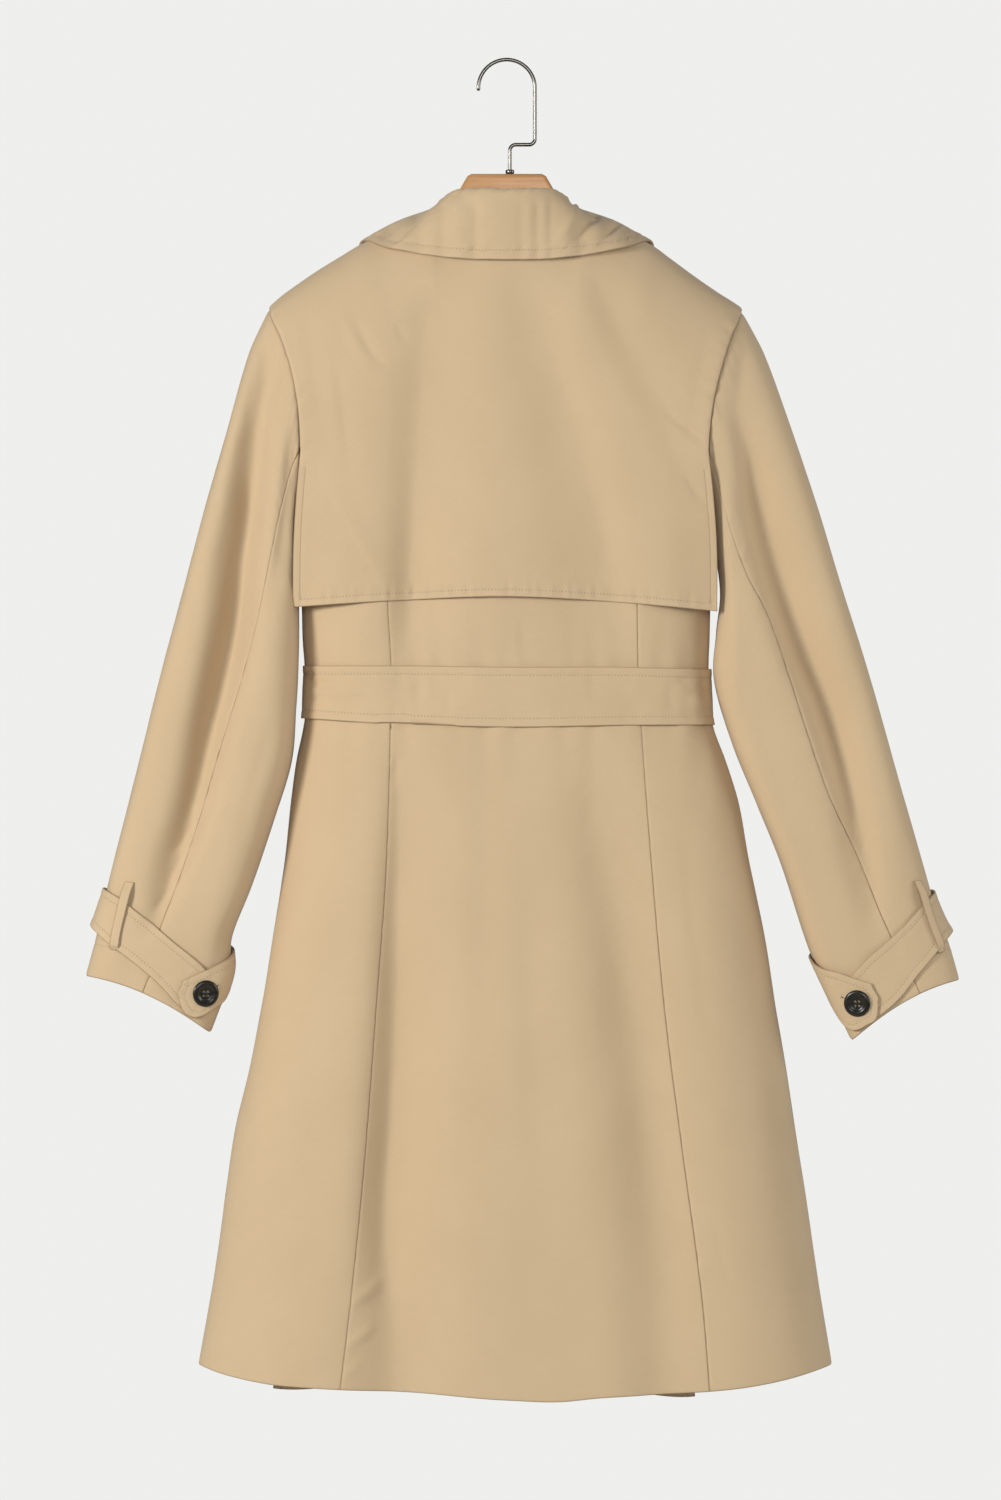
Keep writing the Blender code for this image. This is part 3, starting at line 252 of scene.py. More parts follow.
LEFT_SLEEVE_FOLDS = (
    ((-225, -196, 16, 12, 0), (-256, -200, 18, 14, 9), (-285, -207, 17, 15, 14), (-315, -213, 15, 16, 19),
     (-345, -216, 18, 17, 24), (-375, -219, 17, 18, 28), (-426, -227, 17, 18, 30),
     (-477, -232, 17, 18, 30.5), (-528, -242, 17, 17, 29.5), (-579, -254, 17, 16, 26),
     (-613, -261, 16, 15, 22.5), (-650, -271, 15, 14, 18.5), (-681, -281, 16, 13, 14),
     (-720, -294, 12, 12, 7), (-752, -305, 10, 10, 0)),
    ((-306, -182, 6, 7, 0), (-340, -184, 7, 8, 4), (-376, -187, 8, 8, 6), (-420, -192, 8, 9, 5),
     (-470, -200, 8, 9, 0)),
    ((-430, -180, 24, 6, 0), (-480, -184, 32, 6, -13), (-538, -189, 34, 7, -14),
     (-581, -192, 34, 7, -12.5), (-626, -203, 34, 7, -13), (-675, -219, 32, 7, -12.5),
     (-715, -234, 28, 7, -10), (-746, -248, 22, 7, -6), (-775, -256, 16, 7, 0)),
    ((-560, -200, 4, 6, 0), (-590, -208, 5, 7, 1.4), (-640, -222, 5, 8, 1), (-680, -232, 5, 8, 0)),
    ((-626, -252, 5, 9, 0), (-640, -258, 6, 9, 2.2), (-658, -268, 6, 9, 2.6), (-676, -284, 6, 9, 0)),
    ((-664, -268, 5, 8, 0), (-684, -276, 6, 8, 2.6), (-704, -290, 6, 8, 0)),
    ((-694, -282, 4, 7, 0), (-712, -290, 5, 7, 2), (-728, -302, 5, 7, 0)),
    ((-226, -204, 6, 7, 0), (-262, -206, 7, 8, 1.6), (-300, -208, 8, 9, 0)),
)
RIGHT_SLEEVE_FOLDS = (
    ((-250, 198, 10, 12, 0), (-300, 200, 12, 16, 5), (-340, 207, 13, 20, 13), (-375, 213, 15, 24, 20),
     (-420, 225, 18, 26, 24), (-460, 237, 17, 26, 26), (-500, 251, 17, 25, 26.5),
     (-545, 269, 16, 23, 25.5), (-590, 283, 15, 21, 22.5), (-630, 294, 15, 18, 18.5),
     (-681, 304, 18, 16, 14), (-720, 310, 15, 13, 8), (-752, 315, 11, 12, 0)),
    ((-360, 186, 5, 5, 0), (-420, 189, 6, 7, -2.4), (-500, 193, 7, 8, -2.8), (-556, 196, 7, 8, 0)),
    ((-540, 208, 8, 10, 0), (-620, 232, 9, 12, 1.6), (-700, 262, 10, 12, 1.4), (-760, 282, 10, 12, 0)),
    ((-232, 204, 5, 6, 0), (-262, 200, 6, 7, 1.6), (-300, 196, 6, 7, 0)),
)
# In front, where the photo doesn't reach, the sleeves have folds of the same kind
LEFT_SLEEVE_FRONT_FOLDS = (
    ((-300, -206, 14, 14, 0), (-400, -222, 16, 18, 4), (-520, -244, 18, 18, 5), (-640, -276, 15, 16, 3.5),
     (-700, -292, 12, 12, 0)),
    ((-440, -196, 8, 9, 0), (-520, -204, 9, 10, 2.4), (-600, -216, 9, 10, 2), (-660, -236, 9, 10, 0)),
    ((-560, -280, 8, 10, 0), (-620, -272, 8, 10, 1.8), (-680, -262, 8, 10, 0)),
)
RIGHT_SLEEVE_FRONT_FOLDS = (
    ((-290, 206, 14, 14, 0), (-410, 226, 18, 16, 4.5), (-530, 252, 18, 18, 5), (-650, 290, 15, 15, 3),
     (-710, 308, 12, 12, 0)),
    ((-430, 198, 9, 8, 0), (-520, 210, 10, 9, 2.2), (-620, 240, 10, 9, 2), (-690, 262, 10, 9, 0)),
    ((-560, 286, 10, 8, 0), (-630, 282, 10, 8, 2), (-690, 280, 10, 8, 0)),
)

# Sleeve sections: number, x and height of the outer edge, x and height of the inner edge,
# depth behind, depth in front, bow of the section towards the body
LEFT_SLEEVE = (
    (0, -201.6, -211.7, -177.9, -385.0, 47.0, 47.0, 11.5),
    (1, -219.0, -249.1, -178.4, -402.0, 46.0, 46.0, 8.0),
    (2, -240.3, -323.9, -178.3, -431.0, 45.0, 46.0, 4.0),
    (3, -258.1, -387.7, -178.0, -461.6, 44.0, 46.0, 1.0),
    (4, -275.1, -451.4, -177.8, -500.7, 43.0, 45.0, 0.0),
    (5, -292.1, -515.2, -179.9, -550.0, 43.0, 44.0, 0.0),
    (6, -308.3, -578.9, -184.2, -597.6, 42.0, 43.0, 0.0),
    (7, -324.4, -642.7, -199.5, -648.6, 41.0, 42.0, 0.0),
    (8, -337.2, -693.7, -217.3, -701.3, 39.0, 41.0, 0.0),
    (9, -346.5, -736.2, -235.2, -747.2, 37.0, 39.0, 0.0),
    (10, -351.6, -757.4, -236.0, -778.7, 36.0, 38.0, 0.0),
    (11, -357.6, -779.5, -253.5, -827.1, 36.0, 38.0, 0.0),
)
RIGHT_SLEEVE = (
    (0, 200.4, -214.3, 175.6, -385.0, 47.0, 47.0, -10.5),
    (1, 218.7, -249.1, 176.6, -402.0, 46.0, 46.0, -7.0),
    (2, 240.8, -311.2, 180.5, -429.3, 45.0, 46.0, -4.0),
    (3, 262.1, -374.9, 183.0, -456.5, 44.0, 46.0, -1.0),
    (4, 281.6, -438.7, 179.6, -488.8, 43.0, 45.0, 0.0),
    (5, 302.0, -504.1, 177.6, -526.2, 43.0, 44.0, 0.0),
    (6, 320.7, -568.7, 192.4, -578.9, 42.0, 43.0, 0.0),
    (7, 336.9, -625.7, 213.6, -631.6, 41.0, 42.0, 0.0),
    (8, 353.0, -680.9, 234.9, -684.3, 39.0, 41.0, 0.0),
    (9, 366.6, -727.7, 254.4, -744.7, 37.0, 39.0, 0.0),
    (10, 376.0, -753.2, 265.5, -772.7, 36.0, 38.0, 0.0),
    (11, 384.5, -782.9, 294.4, -833.9, 36.0, 38.0, 0.0),
)
LAST_SECTION = 11.0
# Gap at the armhole and how much more it is at the underarm, how much the sections are flattened, how late
# the folds die out at the edges, and how far the cuff rises between its edges
SLEEVE_OFF = 0.4
SLEEVE_CAP = 1.5
SLEEVE_FLAT = 0.6
SLEEVE_FOLD_FADE = 0.7
CUFF_LIFT = 8.0
# Where the back seam of a sleeve runs: section, angle from the outer edge on the left, on the right
SLEEVE_SEAM = (
    (0, 112.5, 112.5),
    (1, 111.5, 124.0),
    (2, 110.5, 124.0),
    (3, 110.0, 119.0),
    (4, 106.0, 102.5),
    (5, 99.0, 93.0),
    (6, 92.0, 91.0),
    (7, 91.0, 90.5),
    (8, 89.0, 84.0),
    (9, 86.0, 79.0),
    (11, 86.0, 75.0),
)

# Storm flap: row at which it comes free, its free side edges by share of the way down, its lower edge by
# share across
FLAP_CAUGHT_ROW = 5
FLAP_EDGES = (
    (0.0, -174.6, 170.8),
    (0.3, -178.4, 175.5),
    (0.6, -180.8, 178.3),
    (1.0, -181.6, 178.8),
)
FLAP_HEM = ((-1.0, -466.0), (-0.5, -460.5), (0.0, -457.4), (0.45, -461.0), (1.0, -469.5))
FLAP_MIDDLE = -1.4
FLAP_HALF = 180.2
# Height down to which its sides are caught in the armholes, and how far the back lies in under it
FLAP_CAUGHT_TO = -352.0
UNDER_FLAP = 2.4
# How far it stands off at its hem, how far its sides are drawn in and its outer parts settle, the share of
# the back's width that it takes, and its gap
FLAP_FREE = 2.4
FLAP_DRAWN_IN = 8.0
FLAP_SETTLED = 8.0
FLAP_SPAN = 0.995
FLAP_OFF = 0.15

# The collar from the middle of the back to its front end: station, rise of the stand, its lean towards
# the neck, and x, y and height of the fall's outer edge
COLLAR_LINE = (
    (0, 26.5, -3.0, 0.0, -57.0, -172.0),
    (1, 25.8, -2.0, 36.0, -54.5, -171.0),
    (2, 20.5, 2.0, 72.0, -44.5, -166.5),
    (3, 6.2, 7.0, 102.0, -33.0, -160.0),
    (4, 4.0, 8.0, 122.0, 0.0, -153.2),
    (5, 5.5, 8.0, 126.0, 26.0, -163.5),
    (6, 6.5, 6.0, 123.0, 42.5, -182.0),
    (7, 6.0, 4.0, 117.0, 51.0, -203.0),
)
# Stations of its front end and of the shoulder
COLLAR_END = 7
COLLAR_SHOULDER = 4
# Rows down the fronts to its ends, how far its foot lies in from the seam
COLLAR_FRONT_ROWS = 2.0
COLLAR_INSET = 1.0
# The roll line is lower on the right and higher on the left, about one station
COLLAR_TILT = 2.2
COLLAR_TILT_AT = 2.8
COLLAR_TILT_WIDE = 0.65
# Samples along the collar, from end to end, and those that a direction is taken over
COLLAR_SAMPLES = 421
COLLAR_SPAN = 19
# How high the stand starts and how far it bulges, how high and how far out the roll turns, and the
# bulge of the fall
STAND_FOOT = SHELL / 2 + 1.1
STAND_BULGE = 1.2
ROLL_RISE = 2.4
ROLL_REACH = 4.8
FALL_BULGE = 2.0

# The lapels: share of the way up the roll line from its foot, reach out over the front
LAPEL_REACH = ((0.0, 3.0), (0.35, 42.0), (0.7, 76.0), (1.0, 92.0))
# Rows that the turned cloth falls at its tip, the rows of the roll line's foot and top, and the share of
# the reach that the under lapel has
LAPEL_DROP = 0.57
LAPEL_FOOT = {"left": 3.6, "right": 7.0}
LAPEL_TOP_ROW = 2.35
UNDER_LAPEL_SHARE = 0.8

# Cuff straps: angle from the sleeve's outer edge, falling through the hidden side to the button end,
# section number of the upper edge, section number of the lower edge
LEFT_STRAP = (
    (138.0, 10.12, 10.9),
    (124.0, 9.85, 10.92),
    (90.0, 9.05, 10.55),
    (67.5, 8.72, 10.15),
    (45.0, 8.45, 9.75),
    (22.5, 8.31, 9.3),
    (0.0, 8.26, 9.05),
    (-60.0, 8.5, 9.4),
    (-120.0, 9.0, 9.95),
    (-180.0, 9.35, 10.35),
    (-202.5, 9.6, 10.6),
    (-225.0, 9.88, 10.95),
    (-238.0, 10.12, 10.92),
    (-247.0, 10.33, 10.66),
)
RIGHT_STRAP = (
    (140.0, 10.35, 10.93),
    (122.0, 10.2, 10.97),
    (90.0, 9.72, 10.87),
    (67.5, 9.2, 10.58),
    (45.0, 8.85, 10.22),
    (22.5, 8.65, 9.85),
    (0.0, 8.55, 9.6),
    (-60.0, 8.7, 9.7),
    (-120.0, 9.2, 10.1),
    (-180.0, 9.75, 10.55),
    (-202.5, 9.98, 10.88),
    (-225.0, 10.15, 10.97),
    (-240.0, 10.34, 10.94),
    (-248.0, 10.46, 10.72),
)
# Angles between which a strap rises onto its own button end, how far it stands off at the outer edge,
# and the angle and half width of that
STRAP_RISES = (150.0, 220.0)
STRAP_STANDS = 6.0
STRAP_STANDS_AT = -8.0
STRAP_STANDS_WIDE = 30.0
# Carriers: angle, and sections of the two ends
CARRIER_AT = {"left": (46.0, 8.1, 9.85), "right": (33.0, 8.33, 10.17)}
CARRIER_SPREAD = 5.0
CARRIER_BEND = 0.13
CARRIER_GAP = 0.3
BUTTON_AT = {"left": (137.8, 10.45), "right": (133.3, 10.65)}
# Where the end of the buttonhole comes out from under the button, and the tack at the carrier's foot
HOLE_END_AT = {"left": (148.7, 10.22), "right": (147.8, 10.47)}
TACK_AT = {"left": (48.8, 9.92), "right": (36.9, 10.2)}
BUTTON_LIFT = TAB_LIFT + STRAP / 2 - 1.2

# Belt: share of the half ring in front where each end stops
BELT_UNDER_END = -0.1
BELT_OVER_END = -0.42
# Shares over which the over end climbs onto the under end, and over which the belt rises off the side
BELT_LAPPED = 0.45
BELT_LAYER_FADE = 0.28
# How far the belt presses the cloth in, how far the gathers run on under it, and of those over and
# under it: reach, height and pitch
BELT_PRESSES = 0.6
BELT_HIDES = 5.0
GATHERS_OVER = (22.0, 0.7, 31.0)
GATHERS_UNDER = (34.0, 0.9, 37.0)
# Height of the edges behind, by share across
BELT_EDGES = (
    (-1.0, -515.5, -560.5),
    (-0.6, -515.8, -565.0),
    (0.0, -517.0, -568.0),
    (0.6, -517.2, -566.5),
    (1.0, -518.5, -566.5),
)

# Hook and ferrule: radii, x of the stem, heights of jog, ferrule and wood, degrees of the hook's arc, and
# the ferrule's gap to wire and wood
WIRE = 1.6
HOOK_ARC = 24.1
HOOK_STEM_X = 2.7
HOOK_JOG = -71.0
HOOK_BEND = 5.0
HOOK_TURN = 183.0
FERRULE_RADIUS = 3.7
FERRULE_TOP = -92.4
FERRULE_GAP = 0.3
WOOD_TOP = -96.1

# Size of the photo, how many millimetres a pixel covers, and the pixel at the origin. Then, in metres, how
# far off the camera stands and where the cloth lies that the scale is taken at, and the sensor's width in
# millimetres
PHOTO_WIDE = 1001
PHOTO_HIGH = 1500
PIXEL = 0.85
ORIGIN_PIXEL = (506.7, 58.9)
CAMERA_AWAY = 8.0
CLOTH_PLANE = -0.03
SENSOR = 36.0

# Lights: name, place in metres, size, watts and colour. All are aimed at the coat's middle.
LIGHTS = (
    ("key", (-2.7, -2.45, 0.1), 0.9, 92.0, (1.0, 0.985, 0.955)),
    ("front", (0.4, -4.4, 0.2), 1.6, 50.0, (0.99, 0.99, 1.0)),
    ("right", (3.4, -1.0, 0.0), 1.6, 36.0, (1.0, 0.985, 0.95)),
)
LIT_MIDDLE = (0.0, 0.0, -0.55)
BACKDROP = (0.86, 0.865, 0.845, 1.0)
AROUND = (0.93, 0.96, 1.0, 1.0)
AROUND_STRENGTH = 0.215

# The coat's hem behind: how far it lies below the even curve, by x
HEM_SHIFT = (
    (-262, 0.0),
    (-245, -1.5),
    (-226, -1.8),
    (-201, -1.6),
    (-158, 1.2),
    (-128, 2.7),
    (-74, 4.0),
    (-1, 0.6),
    (45, -1.1),
    (78, 1.0),
    (115, 0.7),
    (174, -1.6),
    (204, -2.4),
    (241, -2.0),
    (276, 0.0),
)
BACK_PANELS = ("back_side_left", "back_centre", "back_side_right")

# Share of the body's width that is left open at a seam, and the same for a sleeve, in degrees
TRIM = 0.0006
SLEEVE_TRIM = 0.15
# Distance between a sheet's lines, across and down
BACK_PITCH = (3.4, 3.6)
FLAP_PITCH = (2.7, 2.7)
SLEEVE_PITCH = (3.2, 3.4)
FRONT_PITCH = (5.5, 6.5)
STAND_PITCH = (4.0, 4.0)
FALL_PITCH = (2.2, 2.0)
LAPEL_PITCH = (3.4, 3.4)
STRAP_PITCH = (2.4, 2.0)
CARRIER_PITCH = (1.5, 1.8)
BELT_PITCH = (2.8, 2.6)
# How closely a surface is sampled to measure it, fewest lines down a sheet, and how wide a sheet must be,
# in widths of its two edges, to have its fine lines at their full distances
DENSE_ROWS = 260
DENSE_SHARES = 200
LEAST_ROWS = 8
EDGES_FIT = 2.5
# How far the stitching of a sleeve's hem lies from the hem
SLEEVE_HEM = 28.0

# Soft upright folds of the collar behind: x, half width, depth
COLLAR_FOLDS = (
    (-54.0, 6.0, 1.7),
    (-41.0, 5.0, -0.85),
    (-27.0, 6.0, 1.87),
    (-9.0, 9.0, -1.02),
    (13.0, 5.0, 1.02),
    (26.0, 5.0, 1.87),
    (37.0, 4.0, 1.36),
    (50.0, 5.0, -0.85),
    (64.0, 5.0, 1.19),
    (-74.0, 7.0, 1.36),
    (-98.0, 7.0, 1.02),
)
# Short creases of the collar behind, where it bends round to the front
COLLAR_CREASES = (
    ((-122, 78, 3, 4, 0), (-131, 75, 4, 5, 3.8), (-142, 68, 4, 6, 3.8), (-156, 59, 4, 6, 1.2),
     (-160, 57, 4, 6, 0)),
    ((-134, 97, 3, 4, 0), (-142, 92, 4, 5, 3.4), (-152, 84, 4, 5, 2.6), (-162, 77, 4, 5, 0)),
    ((-124, 60, 3, 4, 0), (-136, 56, 4, 5, -2), (-150, 47, 4, 5, -1.6), (-158, 42, 4, 5, 0)),
    ((-128, -72, 4, 3, 0), (-138, -78, 5, 4, 2.8), (-150, -88, 5, 4, 2.4), (-160, -96, 5, 4, 0)),
    ((-140, -96, 4, 3, 0), (-148, -101, 5, 4, 2), (-157, -108, 4, 4, 0)),
)

# Dents of the belt behind: x, height, half width, half height, depth
BELT_DENTS = (
    (-169.0, -523.0, 4.0, 3.5, 4.0),
    (-156.0, -531.0, 12.0, 3.0, 1.8),
    (-159.0, -543.0, 10.0, 3.5, 1.5),
    (-142.0, -538.0, 17.0, 3.5, -1.1),
    (-126.0, -548.0, 16.0, 4.0, 0.8),
    (168.0, -532.0, 3.5, 8.0, 2.6),
    (161.0, -546.0, 5.0, 5.0, -1.6),
    (150.0, -529.0, 8.0, 4.0, 1.5),
    (139.0, -543.0, 5.0, 12.0, 0.9),
    (20.0, -540.0, 40.0, 8.0, -0.8),
    (-75.0, -535.0, 4.5, 13.0, 1.0),
    (-66.0, -538.0, 4.0, 12.0, -0.6),
    (-50.0, -548.0, 6.0, 10.0, 0.8),
    (72.0, -533.0, 6.0, 12.0, 0.8),
    (110.0, -550.0, 10.0, 7.0, 0.8),
)

# Half section of a button: distance from its axis, height above the strap
BUTTON_PROFILE = (
    (0.0, 2.05),
    (4.4, 2.05),
    (5.4, 2.2),
    (6.3, 2.6),
    (7.0, 3.1),
    (7.7, 3.4),
    (8.6, 3.5),
    (9.6, 3.4),
    (10.5, 3.05),
    (11.1, 2.55),
    (11.45, 1.9),
    (11.35, 1.2),
    (10.9, 0.7),
    (9.6, 0.3),
    (4.0, 0.0),
    (0.0, 0.0),
)
# Radius of its four holes, their distance from the axis, and the drill's length
BUTTON_HOLE = 1.05
BUTTON_HOLES_OUT = 2.3
BUTTON_DRILL = 12.0
# The shown end of a buttonhole: height over the strap, where it starts from the button's axis, how far its
# two rows lie aside and the length of their stitches, half the bar across its end and that one's stitches
HOLE_LIFT = 0.1
HOLE_FROM = 9.0
HOLE_ASIDE = 1.1
HOLE_STITCH = 1.7
HOLE_BAR = 2.2
BAR_STITCH = 1.4
# Its slit, a bar of dark thread that stands for the shade in the opening (painted shade): distance of the
# middle from the end, length and width
SLIT_BACK = 2.6
SLIT_LONG = 5.0
SLIT_WIDE = 1.0
# The tack at a carrier's foot: height over the sleeve, half its width in degrees, length of its stitches
TACK_LIFT = 0.15
TACK_HALF = 3.5
TACK_STITCH = 1.6

# Hanger bar: distance from the middle, height of its upper edge (None follows the shoulders), its height
HANGER = (
    (0.0, -96.1, 34.0),
    (30.0, -96.1, 34.0),
    (33.5, -98.0, 33.0),
    (41.0, -111.0, 25.0),
    (52.0, -122.5, 21.0),
    (66.0, None, 18.5),
    (90.0, None, 17.0),
    (110.0, None, 16.0),
    (130.0, None, 15.5),
    (150.0, None, 15.0),
    (170.0, None, 14.5),
    (184.0, None, 12.0),
)
# Its clearance under the shoulders, its thickness and the radius of its edges
HANGER_CLEAR = 3.2
HANGER_THICK = 13.0
HANGER_ROUND = 3.2

# Of each side: the shoulder's tip, and the sleeve's sections, folds behind and folds in front
SLEEVES = {
    -1: (TIP_LEFT, LEFT_SLEEVE, LEFT_SLEEVE_FOLDS, LEFT_SLEEVE_FRONT_FOLDS),
    1: (TIP_RIGHT, RIGHT_SLEEVE, RIGHT_SLEEVE_FOLDS, RIGHT_SLEEVE_FRONT_FOLDS),
}
SIDES = (("left", -1), ("right", 1))


def read(table, key):
    """The other columns of a table at values of its first one, on a smooth curve through its rows."""
    rows = np.array(table, float)
    rows = rows[np.argsort(rows[:, 0])]
    keys, values = rows[:, 0], rows[:, 1:]
    key = np.clip(np.asarray(key, float), keys[0], keys[-1])
    slopes = np.gradient(values, keys, axis=0)
    i = np.clip(np.searchsorted(keys, key, side="right") - 1, 0, len(keys) - 2)
    span = (keys[i + 1] - keys[i])[..., None]
    u = (key - keys[i])[..., None] / span
    start = (2 * u**3 - 3 * u**2 + 1) * values[i] + (u**3 - 2 * u**2 + u) * span * slopes[i]
    end = (3 * u**2 - 2 * u**3) * values[i + 1] + (u**3 - u**2) * span * slopes[i + 1]
    return np.moveaxis(start + end, -1, 0)


def ease(u):
    """A smooth step from 0 to 1."""
    u = np.clip(u, 0.0, 1.0)
    return u * u * (3 - 2 * u)


def bow(u):
    """The height of a unit quarter circle that starts upright."""
    return np.sqrt(1 - (1 - np.clip(u, 0.0, 1.0)) ** 2)


def stacked(x, y, z):
    return np.stack(np.broadcast_arrays(x, y, z), axis=-1)


def unit(vectors):
    return vectors / np.linalg.norm(vectors, axis=-1, keepdims=True)


def run(points, axis=-2):
    """Distance along lines of points from their first one."""
    steps = np.linalg.norm(np.diff(points, axis=axis), axis=-1)
    start = np.zeros_like(np.take(steps, [0], axis=axis + 1))
    return np.concatenate([start, np.cumsum(steps, axis=axis + 1)], axis=axis + 1)


def ripple(along, pitch, seed):
    """An uneven wave between about -1 and 1."""
    shift = np.random.default_rng(seed).random(5)
    stretches = (0.61, 0.83, 1.0, 1.41, 1.93)
    waves = [np.sin(math.tau * (along / (pitch * s) + p)) for s, p in zip(stretches, shift)]
    return sum(waves) / 2.6


def hump(u):
    """1 at 0, and close to 0 past 2."""
    return np.exp(-(u**2))


def crumple(x, z, size, seed):
    """A soft uneven surface between about -1 and 1, with a little more relief across than down."""
    luck = np.random.default_rng(seed)
    total = 0.0
    for _ in range(9):
        turn = luck.normal(0.0, 0.75)
        wave = size * luck.uniform(0.6, 1.9)
        shift = luck.uniform(0, math.tau)
        total = total + np.sin(math.tau * (x * math.cos(turn) + z * math.sin(turn)) / wave + shift)
    return total / 4.5


def folds(table, x, z):
    """Depth of the folds at places of the cloth."""
    total = np.zeros(np.broadcast_shapes(np.shape(x), np.shape(z)))
    for fold in table:
        middle, left, right, depth = read(fold, z)
        top, low = max(row[0] for row in fold), min(row[0] for row in fold)
        inside = (z <= top) & (z >= low)
        reach = np.where(x < middle, left, right)
        total = total + np.where(inside, depth, 0.0) * hump((x - middle) / reach)
    return total


def ridge(x):
    left, right = read(RIDGE, np.abs(x))
    return np.where(x < 0, left, right)


def level_of(row):
    return np.interp(row, np.arange(len(LEVELS)) + UPPER_ROWS, LEVELS)


def row_of(level):
    return UPPER_ROWS + np.interp(-np.asarray(level, float), [-z for z in LEVELS], range(len(LEVELS)))


def row_rise(row):
    """How far up the armhole an upper row lies: 1 at the shoulder, 0 at the underarm."""
    return (1 + np.cos(math.pi * np.minimum(row, UPPER_ROWS) / UPPER_ROWS)) / 2


def middle_and_half(row):
    """Middle and half width of the body at a row."""
    rise = row_rise(row)
    left = read(ARMHOLE, UNDERARM + (TIP_LEFT[1] - UNDERARM) * rise)[0]
    right = read(ARMHOLE, UNDERARM + (TIP_RIGHT[1] - UNDERARM) * rise)[1]
    low = read(BODY, level_of(row))
    left, right = np.where(row < UPPER_ROWS, left, low[0]), np.where(row < UPPER_ROWS, right, low[1])
    return (left + right) / 2, (right - left) / 2


def body(half, share, row, out=0.0, flat_sides=False):
    """Points of the body: half is -1 behind and 1 in front, share runs from -1 to 1 across it."""
    share, row = np.broadcast_arrays(np.asarray(share, float), np.asarray(row, float))
    across = np.sin(math.pi / 2 * share)
    middle, width = middle_and_half(row)
    x = middle + width * across
    level = level_of(row)
    # Above the underarm the cloth rises to the shoulder seam and the neck
    top_x = (TIP_LEFT[0] + TIP_RIGHT[0]) / 2 + (TIP_RIGHT[0] - TIP_LEFT[0]) / 2 * across
    in_neck = np.clip(1 - (top_x / NECK_HALF) ** 2, 0.0, 1.0)
    seam = ridge(np.maximum(np.abs(top_x), NECK_HALF) * np.where(top_x < 0, -1, 1))
    if half > 0:
        top = seam + NECK_SLOPE * np.maximum(NECK_HALF - np.abs(top_x), 0.0)
        neck = 0.0
    else:
        top = seam - NECK_DIP * in_neck
        neck = NECK_BACK * np.maximum(in_neck, 1e-9) ** (0.5 + ease(row / NECK_ROWS))
    upper_z = UNDERARM + (top - UNDERARM) * row_rise(row)
    armhole = (np.where(across < 0, TIP_LEFT[1], TIP_RIGHT[1]) - UNDERARM) / 2
    roundness = armhole + (RIDGE_ROUND - armhole) * (1 - across**2)
    upper = row < UPPER_ROWS
    over = np.where(upper, bow((top - upper_z) / roundness), 1.0)
    up = np.where(upper, np.clip((upper_z - UNDERARM) / (2 * armhole), 0.0, 1.0), 0.0)
    neck = np.where(upper, neck, 0.0)
    _, _, back, front, squareness = read(BODY, level)
    sag = HEM_SAG * ease((BELT_BOTTOM - level) / (BELT_BOTTOM - HEM))
    z = np.where(upper, upper_z, level - sag * (1 - np.abs(across) ** HEM_POWER))
    edge = ARMHOLE_DEPTH * (1.0 if flat_sides else bow(2 * up))
    power = 1.0 if flat_sides else 1.0 - 0.5 * ease(1 - 2 * up)
    depth = back if half < 0 else front
    y = edge + (depth - edge) * np.maximum(1 - np.abs(across) ** squareness, 0.0) ** power
    y = neck + (y - neck) * over
    y = y - folds(BACK_FOLDS if half < 0 else FRONT_FOLDS, x, z) * (1 - across**FOLD_FADE) * over
    points = stacked(x, half * (y + SIDES_APART / 2), z)
    if np.any(out):
        points = points + np.asarray(out)[..., None] * outward(half, share, row, flat_sides)
    return points


def outward(half, share, row, flat_sides=False):
    """The direction off the cloth."""
    step = 0.01
    along = body(half, np.minimum(share + step, 1.0), row, 0.0, flat_sides)
    along = along - body(half, np.maximum(share - step, -1.0), row, 0.0, flat_sides)
    up = body(half, share, np.maximum(row - 0.05, 0.0), 0.0, flat_sides)
    down = body(half, share, row + 0.05, 0.0, flat_sides)
    normal = unit(np.cross(down - up, along))
    guess = stacked(np.sin(math.pi / 2 * share), half * 0.6, 0.25)
    return np.where((normal * guess).sum(-1, keepdims=True) > 0, normal, -normal)


def share_at(row, x):
    """The share across the body at which x lies."""
    middle, width = middle_and_half(row)
    return 2 / math.pi * np.arcsin(np.clip((x - middle) / width, -1.0, 1.0))


def seam_level(row):
    """The height by which the seams' tables are read."""
    return np.where(row >= UPPER_ROWS, level_of(row), UNDERARM + (RIDGE[0][1] - UNDERARM) * row_rise(row))


def shares_of(table, row):
    """Shares across the body at which the two lines of a table run."""
    first, second = read(table, seam_level(row))
    return share_at(row, first), share_at(row, second)


def layer(share, row, over):
    """How far a front lies from the shared surface: the over front outside, the under front inside."""
    across = np.sin(math.pi / 2 * share)
    apart = FRONTS_APART / 2 * ease(row / SHOULDER_ROWS)
    if over:
        return apart * ease((LAYER_STARTS - across) / LAYER_FADE)
    return -apart * ease((LAYER_STARTS + across) / LAYER_FADE)


